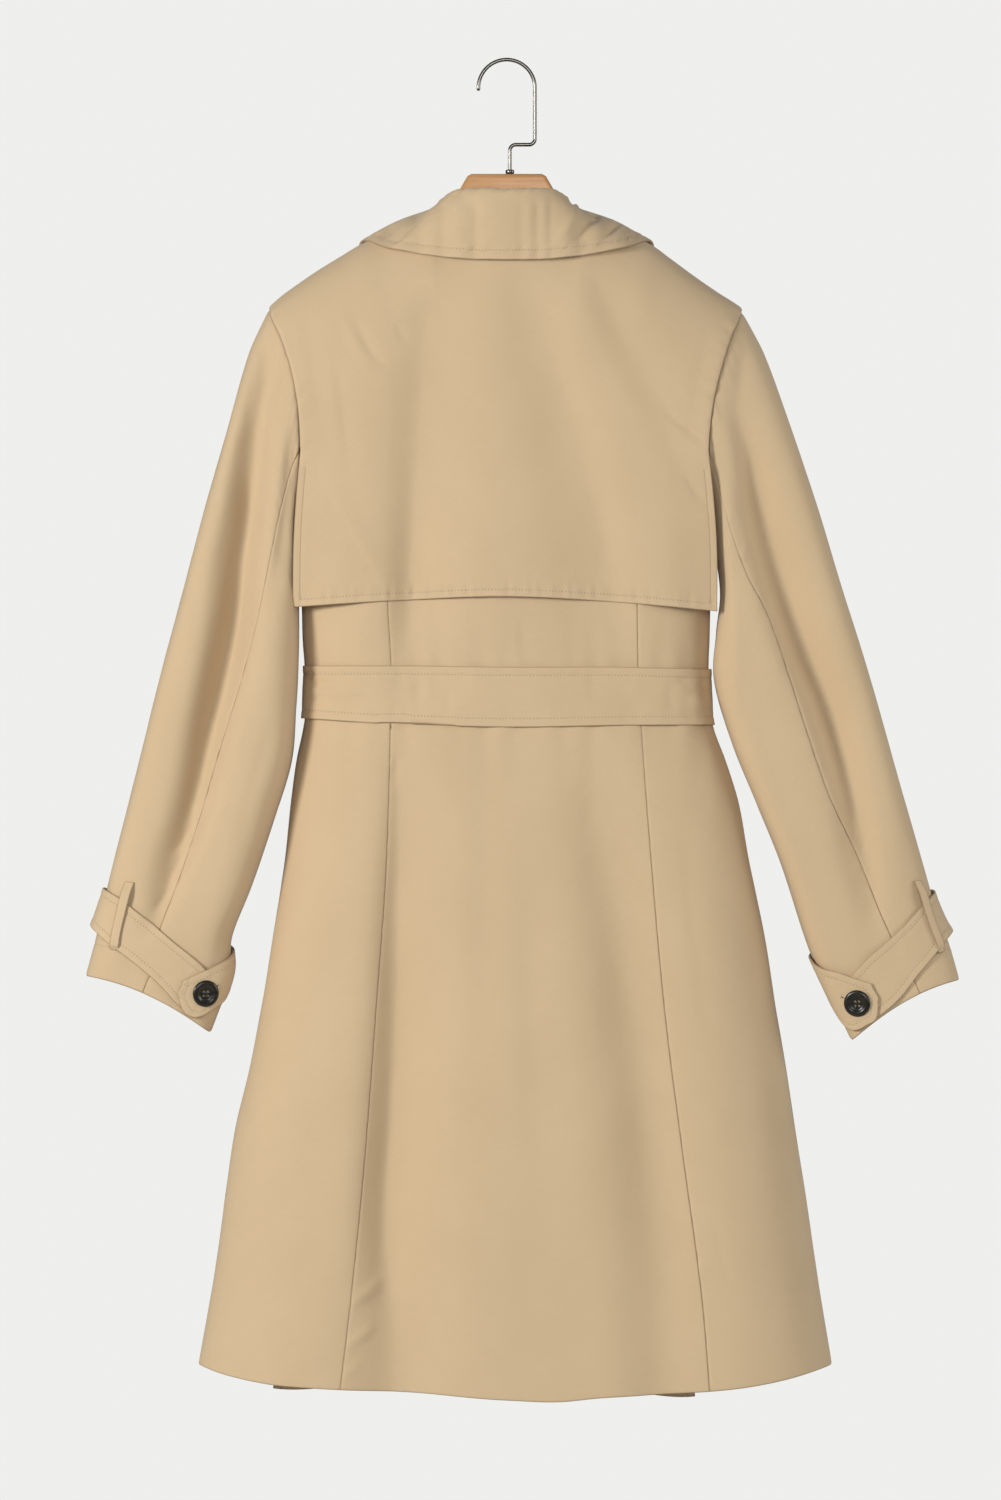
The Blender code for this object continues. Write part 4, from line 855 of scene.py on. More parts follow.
def sleeve(side, angle, section, out=0.0):
    """Points of a sleeve. The angle runs from its outer edge over the back, and is negative in front."""
    tip, sections, folds_behind, folds_before = SLEEVES[side]
    angle, section = np.broadcast_arrays(np.asarray(angle, float), np.asarray(section, float))
    turn = np.radians(angle)
    around = np.sin(turn)
    across = (1 - np.cos(turn)) / 2
    outer_x, outer_z, inner_x, inner_z, back, front, bowed = read(sections, section)
    depth = np.where(around >= 0, back, front)
    flat = 1.0 - SLEEVE_FLAT * ease(section / 2)
    y = -np.sign(around) * depth * np.abs(around) ** flat
    x = outer_x + (inner_x - outer_x) * across + bowed * around**2
    z = outer_z + (inner_z - outer_z) * across + CUFF_LIFT * ease(section - LAST_SECTION + 1) * around**2
    # The first section lies on the armhole seam
    seam_z = tip[1] + (UNDERARM - tip[1]) * across
    seam_x = read(ARMHOLE, seam_z)[0 if side < 0 else 1] + side * (SLEEVE_OFF + SLEEVE_CAP * across**2)
    seam_y = -np.sign(around) * ARMHOLE_DEPTH * np.abs(around)
    blend = ease(section)
    x, y, z = (seam + (free - seam) * blend for seam, free in ((seam_x, x), (seam_y, y), (seam_z, z)))
    sunk = np.where(around > 0, folds(folds_behind, x, z), -folds(folds_before, x, z))
    points = stacked(x, y + sunk * np.abs(around) ** SLEEVE_FOLD_FADE, z)
    if np.any(out):
        step = sleeve(side, angle + 1.0, section) - sleeve(side, angle - 1.0, section)
        low, high = np.maximum(section - 0.05, 0.0), np.minimum(section + 0.05, LAST_SECTION)
        normal = unit(np.cross(step, sleeve(side, angle, high) - sleeve(side, angle, low)))
        axis = (sleeve(side, 0.0 * angle, section) + sleeve(side, 180.0 + 0.0 * angle, section)) / 2
        away = (normal * (points - axis)).sum(-1, keepdims=True) > 0
        points = points + np.asarray(out)[..., None] * np.where(away, normal, -normal)
    return points


def off_sleeve(side, angle, section, lift):
    """A point at a height above a sleeve, and the direction off the cloth there."""
    point = sleeve(side, angle, section, lift)
    return point, unit(sleeve(side, angle, section, lift + 1.0) - point)


def lines(length, count, first, last):
    """Distances along a length: fine lines at its two ends, and even steps between."""
    shrink = min(1.0, length / (EDGES_FIT * (first[-1] + last[-1])))
    first, last = np.array(first) * shrink, np.array(last) * shrink
    between = np.linspace(first[-1], length - last[-1], count)
    return np.concatenate([first[:-1], between, (length - last)[::-1][1:]])


def filled(place, limits, pitch, sides, ends):
    """Points of a sheet: place(share, row) runs from 0 to 1 across it, and down the row limits."""
    dense_rows, dense_shares = np.linspace(*limits, DENSE_ROWS), np.linspace(0, 1, DENSE_SHARES)
    spine = run(place(np.full(DENSE_ROWS, 0.5), dense_rows))
    count = max(LEAST_ROWS, round((spine[-1] - ends[0][-1] - ends[1][-1]) / pitch[1]) + 1)
    rows = np.interp(lines(spine[-1], count, *ends), spine, dense_rows)
    lengths = run(place(dense_shares[None, :], rows[:, None]))
    widest = lengths[:, -1].max()
    count = max(2, round((widest - sides[0][-1] - sides[1][-1]) / pitch[0]) + 1)
    shares = np.array([np.interp(lines(line[-1], count, *sides), line, dense_shares) for line in lengths])
    return place(shares, rows[:, None])


class Sheet:
    """A sheet of cloth: rows of points, and how far each point is from the sheet's four edges."""

    def __init__(self, points, facing=1):
        self.points = points
        self.left = run(points)
        self.right = self.left[:, -1:] - self.left
        self.top = run(points, axis=-3)
        self.low = self.top[-1:] - self.top
        normal = np.cross(np.gradient(points, axis=0), np.gradient(points, axis=1))
        self.normal = unit(normal) * facing
        self.from_thread = np.full_like(self.left, NO_THREAD)

    @property
    def x(self):
        return self.points[..., 0]

    @property
    def z(self):
        return self.points[..., 2]

    def raise_by(self, height):
        self.points = self.points + self.normal * height[..., None]

    def seam(self, distance, deep=0.6, reach=1.8):
        """The cloth turns in where it is sewn to the next panel."""
        self.raise_by(-deep * (1 - np.clip(distance / reach, 0, 1)) ** 2)

    def crumpled(self, across, down, *waves):
        """Uneven relief. A wave has a height, a share of the distance down that counts, a size and a seed."""
        relief = [high * crumple(across, share * down, size, seed) for high, share, size, seed in waves]
        self.raise_by(sum(relief))

    def stitched(self, distance, along, at, seed, pucker=0.35, pitch=11.0, end=1.0):
        """A turned edge: a fuller band out to the stitching, a groove under it, and small puckers."""
        shown = np.ones_like(distance) * end
        past = distance - at
        self.from_thread = np.minimum(self.from_thread, np.where(shown > 0.5, past, NO_THREAD))
        band = EDGE_FULL * ease(-past / 1.5) * ease(distance / 1.5 + 0.3)
        groove = -GROOVE_DEEP * hump(past / GROOVE_WIDE)
        wave = ripple(along, pitch, seed) * hump(past / np.where(past < 0, 5.0, 6.0))
        self.raise_by((band + groove + pucker * wave) * shown)

    def size(self):
        """Width, length and area of the cloth, in metres."""
        a = self.points[1:, :-1] - self.points[:-1, :-1]
        b = self.points[:-1, 1:] - self.points[:-1, :-1]
        area = np.linalg.norm(np.cross(a, b), axis=-1).sum()
        return self.left.max() * MM, self.top.max() * MM, area * MM * MM


def linked(name, data):
    """A new object in the scene."""
    made = bpy.data.objects.new(name, data)
    bpy.context.scene.collection.objects.link(made)
    return made


def mesh_of(name, shape):
    """The mesh of a bmesh, which is freed."""
    mesh = bpy.data.meshes.new(name)
    shape.to_mesh(mesh)
    shape.free()
    return mesh


def finish_piece(piece, slot, *nodes):
    """Puts a piece on the coat's one body and in place of nodes of the frame; its slot is not used."""
    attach(piece, "root")
    if nodes:
        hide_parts(*nodes)
    return piece


def cloth(name, sheet, thick, finish, nodes):
    """Makes a sheet's mesh on a grid, with its distances in metres as the maps for weave and wear, and for
    the painted shade at its edges and along its stitching.
    """
    down, across = sheet.points.shape[:2]
    shape = bmesh.new()
    bmesh.ops.create_grid(shape, x_segments=across - 1, y_segments=down - 1, size=1.0)
    mesh = mesh_of(name, shape)
    mesh.vertices.foreach_set("co", (sheet.points * MM).ravel())
    corners = np.empty(len(mesh.loops), np.int32)
    mesh.loops.foreach_get("vertex_index", corners)
    nearest = np.minimum(np.minimum(sheet.left, sheet.right), np.minimum(sheet.top, sheet.low))
    for kind, u, v in (("cloth", sheet.left, -sheet.top), ("edge", nearest, sheet.from_thread)):
        flat = np.stack([u, v], axis=-1).reshape(-1, 2) * MM
        mesh.uv_layers.new(name=kind).data.foreach_set("uv", flat[corners].ravel())
    mesh.update()
    mesh.shade_smooth()
    mesh.materials.append(finish)
    piece = linked(name, mesh)
    solid = piece.modifiers.new("thickness", "SOLIDIFY")
    solid.thickness = thick * MM
    solid.offset = 0.0
    finish_piece(piece, "coat_cloth", *nodes)
    width, length, area = sheet.size()
    width = max(width, LEAST_FLAT)
    area = min(area, width * length)


def gathers(sheet, seed):
    """Small upright folds where the belt draws the cloth in."""
    for past, sizes, luck in (
        (sheet.z - BELT_TOP, GATHERS_OVER, seed),
        (BELT_BOTTOM - sheet.z, GATHERS_UNDER, seed + 1),
    ):
        reach, high, pitch = sizes
        fading = np.exp(-(np.maximum(past, 0.0) / reach)) * (past > -BELT_HIDES)
        sheet.raise_by(high * ripple(sheet.x, pitch, luck) * fading)


def under_belt(sheet):
    """The belt presses the cloth in."""
    pressed = ease((BELT_TOP - 2 - sheet.z) / 4) * ease((sheet.z - BELT_BOTTOM - 2) / 4)
    sheet.raise_by(-BELT_PRESSES * pressed)


def back_panel(k):
    def place(u, row):
        left, right = shares_of(BACK_SEAMS, row)
        edges = (-1.0, left, right, 1.0)
        first, last = edges[k] + (TRIM if k > 0 else 0.0), edges[k + 1] - (TRIM if k < 2 else 0.0)
        points = body(-1, first + (last - first) * u, row)
        down = ease((BELT_BOTTOM - points[..., 2]) / (BELT_BOTTOM - HEM)) ** 2
        points[..., 2] += read(HEM_SHIFT, points[..., 0])[0] * down
        return points

    return place


def make_back(finish):
    for k, name in enumerate(BACK_PANELS):
        ends = (SEAM_LINES, HEM_LINES)
        sheet = Sheet(filled(back_panel(k), (0.0, LAST_ROW), BACK_PITCH, (SEAM_LINES, SEAM_LINES), ends))
        flap_hem = read(FLAP_HEM, np.clip((sheet.x - FLAP_MIDDLE) / FLAP_HALF, -1, 1))[0]
        sheet.raise_by(-UNDER_FLAP * ease((sheet.z - flap_hem - 5) / 9))
        sheet.raise_by(-folds(BACK_CREASES, sheet.x, sheet.z))
        sheet.crumpled(sheet.x, sheet.z, (0.30, 0.3, 46.0, 11), (0.05, 0.6, 20.0, 12))
        gathers(sheet, 5)
        under_belt(sheet)
        for distance, sewn, seed in ((sheet.left, k > 0, 21), (sheet.right, k < 2, 22)):
            sheet.seam(distance, deep=0.6 if sewn else 0.4)
            sheet.raise_by(0.14 * ripple(sheet.z, 17.0, seed) * hump(distance / 9.0) * sewn)
        sheet.seam(sheet.low, deep=0.5, reach=2.5)
        cloth(name + "_cloth", sheet, SHELL, finish, (name + "_bodice", name + "_skirt"))


def front_panel(over):
    def place(u, row):
        under_edge, over_edge = shares_of(FRONT_EDGES, row)
        first, last, edge = (over_edge, 1.0, over_edge) if over else (-1.0, under_edge, under_edge)
        share = first + (last - first) * u
        points = body(1, share, row, layer(share, row, over))
        edge_x = body(1, edge, row)[..., 0]
        near = ease(1 - np.abs(points[..., 0] - edge_x) / DROOP_WIDTH)
        down = ease((BELT_BOTTOM - points[..., 2]) / (BELT_BOTTOM - HEM))
        points[..., 2] -= FRONT_DROOP * near * down**2
        return points

    return place


def make_fronts(finish):
    for word, side in SIDES:
        over = side > 0
        sides = (EDGE_LINES, SEAM_LINES) if over else (SEAM_LINES, EDGE_LINES)
        ends = (SEAM_LINES, HEM_LINES)
        sheet = Sheet(filled(front_panel(over), (0.0, LAST_ROW), FRONT_PITCH, sides, ends), -1)
        sheet.crumpled(sheet.x, sheet.z, (0.35, 0.3, 54.0, 13 + over), (0.06, 0.6, 30.0, 15))
        gathers(sheet, 7)
        under_belt(sheet)
        free = sheet.left if over else sheet.right
        sheet.stitched(free, sheet.top, STITCH_IN, 31)
        sheet.seam(sheet.right if over else sheet.left, deep=0.4)
        name = "front_" + word
        cloth(name + "_cloth", sheet, SHELL, finish, (name + "_bodice", name + "_skirt"))


def flap_place(u, v):
    """The storm flap: as the back down to the row where it comes free, then hanging to its own hem."""
    share = (2 * np.asarray(u, float) - 1) * FLAP_SPAN
    # Its top edge lies half a row lower across the neck
    start = 0.02 + 0.5 * ease((0.4 - np.abs(share)) / 0.06)
    share, row = np.broadcast_arrays(share, start + v * (2 * FLAP_CAUGHT_ROW - start))
    lift = SHELL + LAYER_GAP
    caught = body(-1, share, np.minimum(row, FLAP_CAUGHT_ROW), lift, True)
    across = np.sin(math.pi / 2 * share)
    down = np.clip((row - FLAP_CAUGHT_ROW) / FLAP_CAUGHT_ROW, 0.0, 1.0)
    left, right = read(FLAP_EDGES, down)
    hem = read(FLAP_HEM, across)[0]
    x = (left + right) / 2 + (right - left) / 2 * across
    z = caught[..., 2] + (hem - caught[..., 2]) * down
    depth = ARMHOLE_DEPTH + (BODY[0][3] - ARMHOLE_DEPTH) * (1 - np.abs(across) ** BODY[0][5])
    y = depth + lift + FLAP_FREE * down - folds(BACK_FOLDS, x, z) * (1 - across**FOLD_FADE)
    y = y - FLAP_DRAWN_IN * ease((np.abs(across) - 0.75) / 0.25) * down
    y = y - FLAP_SETTLED * ease((np.abs(across) - 0.15) / 0.5) * down**1.5
    free = stacked(x, -(y + FLAP_OFF), z)
    mixed = ease((row - FLAP_CAUGHT_ROW + 0.4) / 0.8)[..., None]
    below = np.where((row > FLAP_CAUGHT_ROW)[..., None], free, caught)
    return caught * (1 - mixed) + below * mixed


def make_flap(finish):
    sides, ends = (EDGE_LINES, EDGE_LINES), (SEAM_LINES, EDGE_LINES)
    sheet = Sheet(filled(flap_place, (0.0, 1.0), FLAP_PITCH, sides, ends))
    x, z = sheet.x, sheet.z
    sheet.raise_by(-folds(BACK_CREASES, x, z))
    sheet.crumpled(x, z, (0.25, 0.35, 46.0, 41), (0.05, 0.7, 19.0, 42))
    caught = ease((z - FLAP_CAUGHT_TO) / 10)
    for distance, seed in ((sheet.left, 43), (sheet.right, 44)):
        sheet.raise_by(-1.1 * (1 - np.clip(distance / 3.0, 0, 1)) ** 2 * caught)
        sheet.raise_by(0.5 * ripple(sheet.top, 19.0, seed) * hump(distance / 10.0) * caught)
        sheet.stitched(distance, sheet.top, STITCH_IN, seed, pucker=0.15, end=1 - caught)
    sheet.stitched(sheet.low, sheet.x, STITCH_IN, 45, pucker=0.55, pitch=11.0)
    cloth("storm_flap_cloth", sheet, SHELL, finish, ("storm_flap",))
    return sheet


def neck_points(station, side):
    """The neck seam: behind, then down the front's roll line."""
    behind = side * NECK_HALF * np.sin(math.pi / 2 * np.minimum(station, COLLAR_SHOULDER) / COLLAR_SHOULDER)
    back = body(-1, share_at(np.zeros_like(behind), behind), np.zeros_like(behind))
    row = np.maximum(station - COLLAR_SHOULDER, 0.0) / (COLLAR_END - COLLAR_SHOULDER) * COLLAR_FRONT_ROWS
    under, over = shares_of(FRONT_EDGES, row)
    left = body(1, under, row, layer(under, row, False))
    right = body(1, over, row, layer(over, row, True))
    front = np.where((side > 0)[:, None], right, left)
    return np.where((station <= COLLAR_SHOULDER)[:, None], back, front)


def directions(path):
    """Up and outward directions at each point of a line round the neck, from left to right."""
    window = np.full(COLLAR_SPAN, 1 / COLLAR_SPAN)
    padded = [np.pad(column, COLLAR_SPAN // 2, mode="edge") for column in path.T]
    even = [np.convolve(column, window, "valid") for column in padded]
    along = unit(np.gradient(np.stack(even, axis=-1), axis=0))
    up = unit(np.array([0.0, 0.0, 1.0]) - along * along[:, 2:])
    return up, np.cross(along, up)


def smoothed(points, count):
    """Rows of points through the given ones on smooth curves, more closely spaced."""
    keys = np.arange(len(points), dtype=float)
    flat = points.reshape(len(points), -1)
    table = np.concatenate([keys[:, None], flat], axis=1)
    return np.moveaxis(read(table, np.linspace(0, keys[-1], count)), 0, -1).reshape(count, *points.shape[1:])


def surface(points):
    """The place function of a sheet, from a dense grid of its points."""
    last = points.shape[0] - 1, points.shape[1] - 1

    def place(u, v):
        across, down = np.broadcast_arrays(np.asarray(u) * last[1], np.asarray(v) * last[0])
        i = np.clip(down.astype(int), 0, last[0] - 1)
        j = np.clip(across.astype(int), 0, last[1] - 1)
        a, b = (down - i)[..., None], (across - j)[..., None]
        upper = points[i, j] * (1 - b) + points[i, j + 1] * b
        return upper * (1 - a) + (points[i + 1, j] * (1 - b) + points[i + 1, j + 1] * b) * a

    return place


def make_collar(finish):
    """The stand rises from the neck seam to the roll line, where the fall turns over it and down."""
    at = np.linspace(-COLLAR_END, COLLAR_END, COLLAR_SAMPLES)
    station, side = np.abs(at), np.where(at >= 0, 1, -1)
    seam = neck_points(station, side)
    rise, lean, edge_x, edge_y, edge_z = (c[:, None] for c in read(COLLAR_LINE, station))
    up, out = directions(seam)
    rise = rise - COLLAR_TILT * (side * hump((station - COLLAR_TILT_AT) / COLLAR_TILT_WIDE))[:, None]
    roll = seam + up * rise - out * lean
    foot = seam - out * COLLAR_INSET + up * STAND_FOOT
    bulge = out * STAND_BULGE
    turns = np.linspace(1, 0, 13)
    stand = np.stack([foot + (roll - foot) * u + bulge * math.sin(math.pi * u) for u in turns])
    ends = (SEAM_LINES, SEAM_LINES)
    sheet = Sheet(filled(surface(stand), (0.0, 1.0), STAND_PITCH, ends, ends))
    cloth("collar_stand_cloth", sheet, STAND, finish, ("collar_stand",))

    up, out = directions(roll)
    edge = np.concatenate([side[:, None] * edge_x, edge_y, edge_z], axis=1)
    shoulder = roll + out * ROLL_REACH - up * ROLL_RISE / 2
    rows = [roll + up * ROLL_RISE, roll + out * ROLL_REACH / 2 + up * ROLL_RISE * 0.75]
    for u in (0.0, 0.22, 0.48, 0.74, 1.0):
        rows.append(shoulder + (edge - shoulder) * u + (out + up) * FALL_BULGE * math.sin(math.pi * u))
    fall = smoothed(np.stack(rows), 90)
    sides, ends = (COLLAR_LINES, COLLAR_LINES), (SEAM_LINES, COLLAR_LINES)
    sheet = Sheet(filled(surface(fall), (0.0, 1.0), FALL_PITCH, sides, ends))
    behind = -sheet.points[..., 1]
    shown = ease((sheet.top - 8) / 14) * ease(behind / 12)
    for x, half, deep in COLLAR_FOLDS:
        sheet.raise_by(-deep * hump((sheet.x - x) / half) * shown)
    sheet.raise_by(-folds(COLLAR_CREASES, sheet.x, sheet.z) * ease((behind + 2) / 10))
    sheet.crumpled(sheet.left, sheet.top, (0.30, 0.4, 40.0, 51), (0.10, 0.6, 17.0, 52))
    sheet.raise_by(0.6 * ripple(sheet.left, 13.0, 53) * hump((sheet.top - 3) / 4.0))
    sheet.stitched(sheet.low, sheet.left, COLLAR_STITCH_IN, 54, pucker=0.7, pitch=10.0)
    for distance, seed in ((sheet.left, 55), (sheet.right, 56)):
        sheet.stitched(distance, sheet.top, COLLAR_STITCH_IN, seed, pucker=0.2)
    cloth("collar_fall_cloth", sheet, COLLAR, finish, ("collar_fall",))
    return sheet


def lapel_place(word, side):
    outer, foot = side > 0, LAPEL_FOOT[word]

    def place(u, v):
        u, up = np.broadcast_arrays(np.asarray(u, float), 1 - np.asarray(v, float))
        turned = u if outer else 1 - u
        row = foot + (LAPEL_TOP_ROW - foot) * up
        under, over = shares_of(FRONT_EDGES, row)
        middle, width = middle_and_half(row)
        start = middle + width * np.sin(math.pi / 2 * (over if outer else under))
        reach = read(LAPEL_REACH, up)[0] * (1.0 if outer else UNDER_LAPEL_SHARE)
        x = start + side * reach * turned
        fallen = np.minimum(row + LAPEL_DROP * turned * up, float(UPPER_ROWS))
        share = share_at(fallen, x)
        return body(1, share, fallen, layer(share, fallen, outer) + LAPEL_LIFT[word])

    return place


def make_lapels(finish):
    for word, side in SIDES:
        sides = (SEAM_LINES, EDGE_LINES) if side > 0 else (EDGE_LINES, SEAM_LINES)
        ends = (EDGE_LINES, SEAM_LINES)
        sheet = Sheet(filled(lapel_place(word, side), (0.0, 1.0), LAPEL_PITCH, sides, ends), -1)
        sheet.crumpled(sheet.x, sheet.z, (0.25, 1.0, 50.0, 61))
        sheet.stitched(sheet.right if side > 0 else sheet.left, sheet.top, STITCH_IN, 62, pucker=0.2)
        sheet.stitched(sheet.top, sheet.x, STITCH_IN, 63, pucker=0.2)
        cloth(f"lapel_{word}_cloth", sheet, LAPEL, finish, ("lapel_" + word,))


def sleeve_panel(side, upper):
    def place(u, section):
        seam = read(SLEEVE_SEAM, section)[0 if side < 0 else 1]
        first, last = (-seam, seam) if upper else (seam, 360 - seam)
        u = np.asarray(u, float) if side < 0 else 1 - np.asarray(u, float)
        angle = first + SLEEVE_TRIM + (last - first - 2 * SLEEVE_TRIM) * u
        return sleeve(side, angle, section)

    return place


def make_sleeves(finish):
    found = []
    sides, ends = (SEAM_LINES, SEAM_LINES), (SEAM_LINES, SLEEVE_LINES)
    for word, side in SIDES:
        for part, upper in (("upper", True), ("under", False)):
            limits = (0.0, LAST_SECTION)
            sheet = Sheet(filled(sleeve_panel(side, upper), limits, SLEEVE_PITCH, sides, ends))
            seed = 70 + 4 * upper + side
            waves = (0.4, 0.3, 44.0, seed), (0.08, 0.6, 18.0, seed + 20)
            sheet.crumpled(sheet.left, sheet.top, *waves)
            for distance, extra in ((sheet.left, 0), (sheet.right, 1)):
                sheet.seam(distance, deep=0.6)
                sheet.raise_by(0.2 * ripple(sheet.top, 19.0, seed + 5 + extra) * hump(distance / 10.0))
            sheet.seam(sheet.top, deep=1.4, reach=4.0)
            sheet.raise_by(0.45 * ripple(sheet.left, 21.0, seed + 7) * hump(sheet.top / 14.0))
            sheet.stitched(sheet.low, sheet.left, SLEEVE_HEM, seed + 9, pucker=0.25, pitch=16.0)
            sheet.seam(sheet.low, deep=0.6, reach=2.5)
            node = f"sleeve_{part}_{word}"
            parts = ("_front", "_back", "_front_low", "_back_low") if upper else ("",)
            cloth(node + "_cloth", sheet, SHELL, finish, [node + end for end in parts])
            found.append(sheet)
    return found


def strap_lift(angle):
    start, end = STRAP_RISES
    return STRAP_LIFT + (TAB_LIFT - STRAP_LIFT) * ease((-angle - start) / (end - start))


def strap_place(side, table):
    first, last = (table[0][0], table[-1][0]) if side > 0 else (table[-1][0], table[0][0])

    def place(u, v):
        u, v = np.broadcast_arrays(np.asarray(u, float), np.asarray(v, float))
        angle = first + (last - first) * u
        top, low = read(table, angle)
        stands = STRAP_STANDS * hump((angle - STRAP_STANDS_AT) / STRAP_STANDS_WIDE) * (0.25 + 0.75 * v)
        return sleeve(side, angle, top + (low - top) * v, strap_lift(angle) + stands)

    return place


def make_straps(finish):
    found = {}
    ends = (EDGE_LINES, EDGE_LINES)
    for (word, side), table in zip(SIDES, (LEFT_STRAP, RIGHT_STRAP)):
        sheet = Sheet(filled(strap_place(side, table), (0.0, 1.0), STRAP_PITCH, ends, ends))
        sheet.crumpled(sheet.left, sheet.top, (0.12, 1.0, 23.0, 81))
        sheet.stitched(sheet.top, sheet.left, STITCH_IN, 82, pucker=0.16)
        sheet.stitched(sheet.low, sheet.left, STITCH_IN, 83, pucker=0.16)
        sheet.stitched(sheet.left if side < 0 else sheet.right, sheet.top, STITCH_IN, 84, pucker=0.1)
        name = "cuff_strap_" + word
        cloth(name + "_cloth", sheet, STRAP, finish, (name,))
        found[word] = sheet
    return found


def carrier_place(side, angle, start, end):
    near = SHELL / 2 + CARRIER_GAP + CARRIER / 2
    far = STRAP_LIFT + STRAP / 2 + 2.6 * LAYER_GAP + CARRIER / 2

    def place(u, v):
        u, v = np.broadcast_arrays(np.asarray(u, float), np.asarray(v, float))
        lift = near + (far - near) * ease(np.minimum(v, 1 - v) / CARRIER_BEND)
        return sleeve(side, angle - CARRIER_SPREAD * side * (2 * u - 1), start + (end - start) * v, lift)

    return place


def make_carriers(finish):
    ends = (SEAM_LINES[:4], SEAM_LINES[:4])
    for word, side in SIDES:
        place = carrier_place(side, *CARRIER_AT[word])
        sheet = Sheet(filled(place, (0.0, 1.0), CARRIER_PITCH, ends, ends))
        sheet.raise_by(0.2 * hump((sheet.left - sheet.right) / 4.0))
        name = "strap_carrier_" + word
        cloth(name + "_cloth", sheet, CARRIER, finish, (name,))


def belt_layer(share):
    across = np.sin(math.pi / 2 * share)
    lifted = ease((LAYER_STARTS - across) / LAYER_FADE) * ease((across + 1) / BELT_LAYER_FADE)
    return FRONTS_APART / 2 * lifted


def make_belt(finish):
    """Round the waist, from the under end in front, by the left, the back and the right, to the over end."""
    near = SHELL / 2 + LAYER_GAP + BELT / 2
    under = np.linspace(BELT_UNDER_END, -1.0, 150)[:-1]
    behind = np.linspace(-1.0, 1.0, 400)
    over = np.linspace(1.0, BELT_OVER_END, 260)[1:]
    strips = []
    for v in np.linspace(0, 1, 15):
        strip = []
        for half, shares, end in ((1, under, -1.0), (-1, behind, None), (1, over, 1.0)):
            across = np.sin(math.pi / 2 * shares) if end is None else np.full(len(shares), end)
            top, low = read(BELT_EDGES, across)
            lift = np.full(len(shares), near) if half < 0 else near + belt_layer(shares)
            if end == 1.0:
                lift = lift + ease((BELT_LAPPED - shares) / BELT_LAPPED) * (BELT + LAYER_GAP)
            strip.append(body(half, shares, row_of(top + (low - top) * v), lift))
        strips.append(np.concatenate(strip))
    ends = (BELT_LINES, BELT_LINES)
    sheet = Sheet(filled(surface(np.stack(strips)), (0.0, 1.0), BELT_PITCH, ends, ends))
    behind = sheet.points[..., 1] < 0
    sheet.crumpled(sheet.left, sheet.top, (0.40, 1.0, 48.0, 91), (0.13, 1.0, 17.0, 92))
    for x, z, half, high, deep in BELT_DENTS:
        dent = hump((sheet.x - x) / half) * hump((sheet.z - z) / high)
        sheet.raise_by(-deep * dent * behind)
    for distance, seed in ((sheet.top, 93), (sheet.low, 94)):
        sheet.stitched(distance, sheet.left, BELT_STITCH_IN, seed, pucker=0.2, pitch=14.0)
    for distance in (sheet.left, sheet.right):
        sheet.stitched(distance, sheet.top, BELT_STITCH_IN, 95, pucker=0.2)
    cloth("belt_cloth", sheet, BELT, finish, ("belt",))
    return sheet


class Wire:
    """A socket of a finish in the making: an expression on it adds the Math nodes that work it out."""

    def __init__(self, finish, socket):
        self.finish, self.socket = finish, socket

    def __add__(self, other):
        return self.finish.maths("ADD", self, other)

    __radd__ = __add__

    def __sub__(self, other):
        return self.finish.maths("SUBTRACT", self, other)

    def __rsub__(self, other):
        return self.finish.maths("SUBTRACT", other, self)

    def __mul__(self, other):
        return self.finish.maths("MULTIPLY", self, other)


class Finish:
    """A material, with its pattern's nodes. Constants are set on the shader's own sockets."""

    def __init__(self, name, constants):
        self.material = bpy.data.materials.new(name)
        self.material.use_nodes = True
        self.tree = self.material.node_tree
        self.shader = self.tree.nodes["Principled BSDF"]
        for socket, value in constants.items():
            self.shader.inputs[socket].default_value = value

    def node(self, kind, settings, sockets, output=0):
        made = self.tree.nodes.new("ShaderNode" + kind)
        for name, value in settings.items():
            setattr(made, name, value)
        for name, value in sockets.items():
            self.feed(made.inputs[name], value)
        return Wire(self, made.outputs[output])

    def feed(self, socket, value):
        if isinstance(value, Wire):
            self.tree.links.new(value.socket, socket)
        else:
            socket.default_value = value

    def maths(self, operation, first, second):
        return self.node("Math", {"operation": operation}, {0: first, 1: second})

    def stepped(self, value, low, high):
        """0 below low and 1 above high, smoothly."""
        sockets = {"Value": value, "From Min": low, "From Max": high}
        return self.node("MapRange", {"interpolation_type": "SMOOTHSTEP"}, sockets)

    def noise(self, vector, scale, detail=2.0, roughness=0.5):
        sockets = {"Vector": vector, "Scale": scale, "Detail": detail, "Roughness": roughness}
        return self.node("TexNoise", {}, sockets)

    def place(self):
        """The object's own coordinates."""
        return self.node("TexCoord", {}, {}, 3)

    def mixed(self, factor, first, second, blend="MIX"):
        """A mix of two colours, each a wire or three numbers."""
        first, second = (c if isinstance(c, Wire) else (*c, 1.0) for c in (first, second))
        settings = {"data_type": "RGBA", "blend_type": blend}
        return self.node("Mix", settings, {0: factor, 6: first, 7: second}, 2)

    def stretched(self, vector, scale):
        return self.node("Mapping", {}, {"Vector": vector, "Scale": scale})

    def shows(self, socket, value):
        self.feed(self.shader.inputs[socket], value)

    def bump(self, height, distance, strength):
        sockets = {"Height": height, "Distance": distance, "Strength": strength}
        self.shows("Normal", self.node("Bump", {}, sockets))


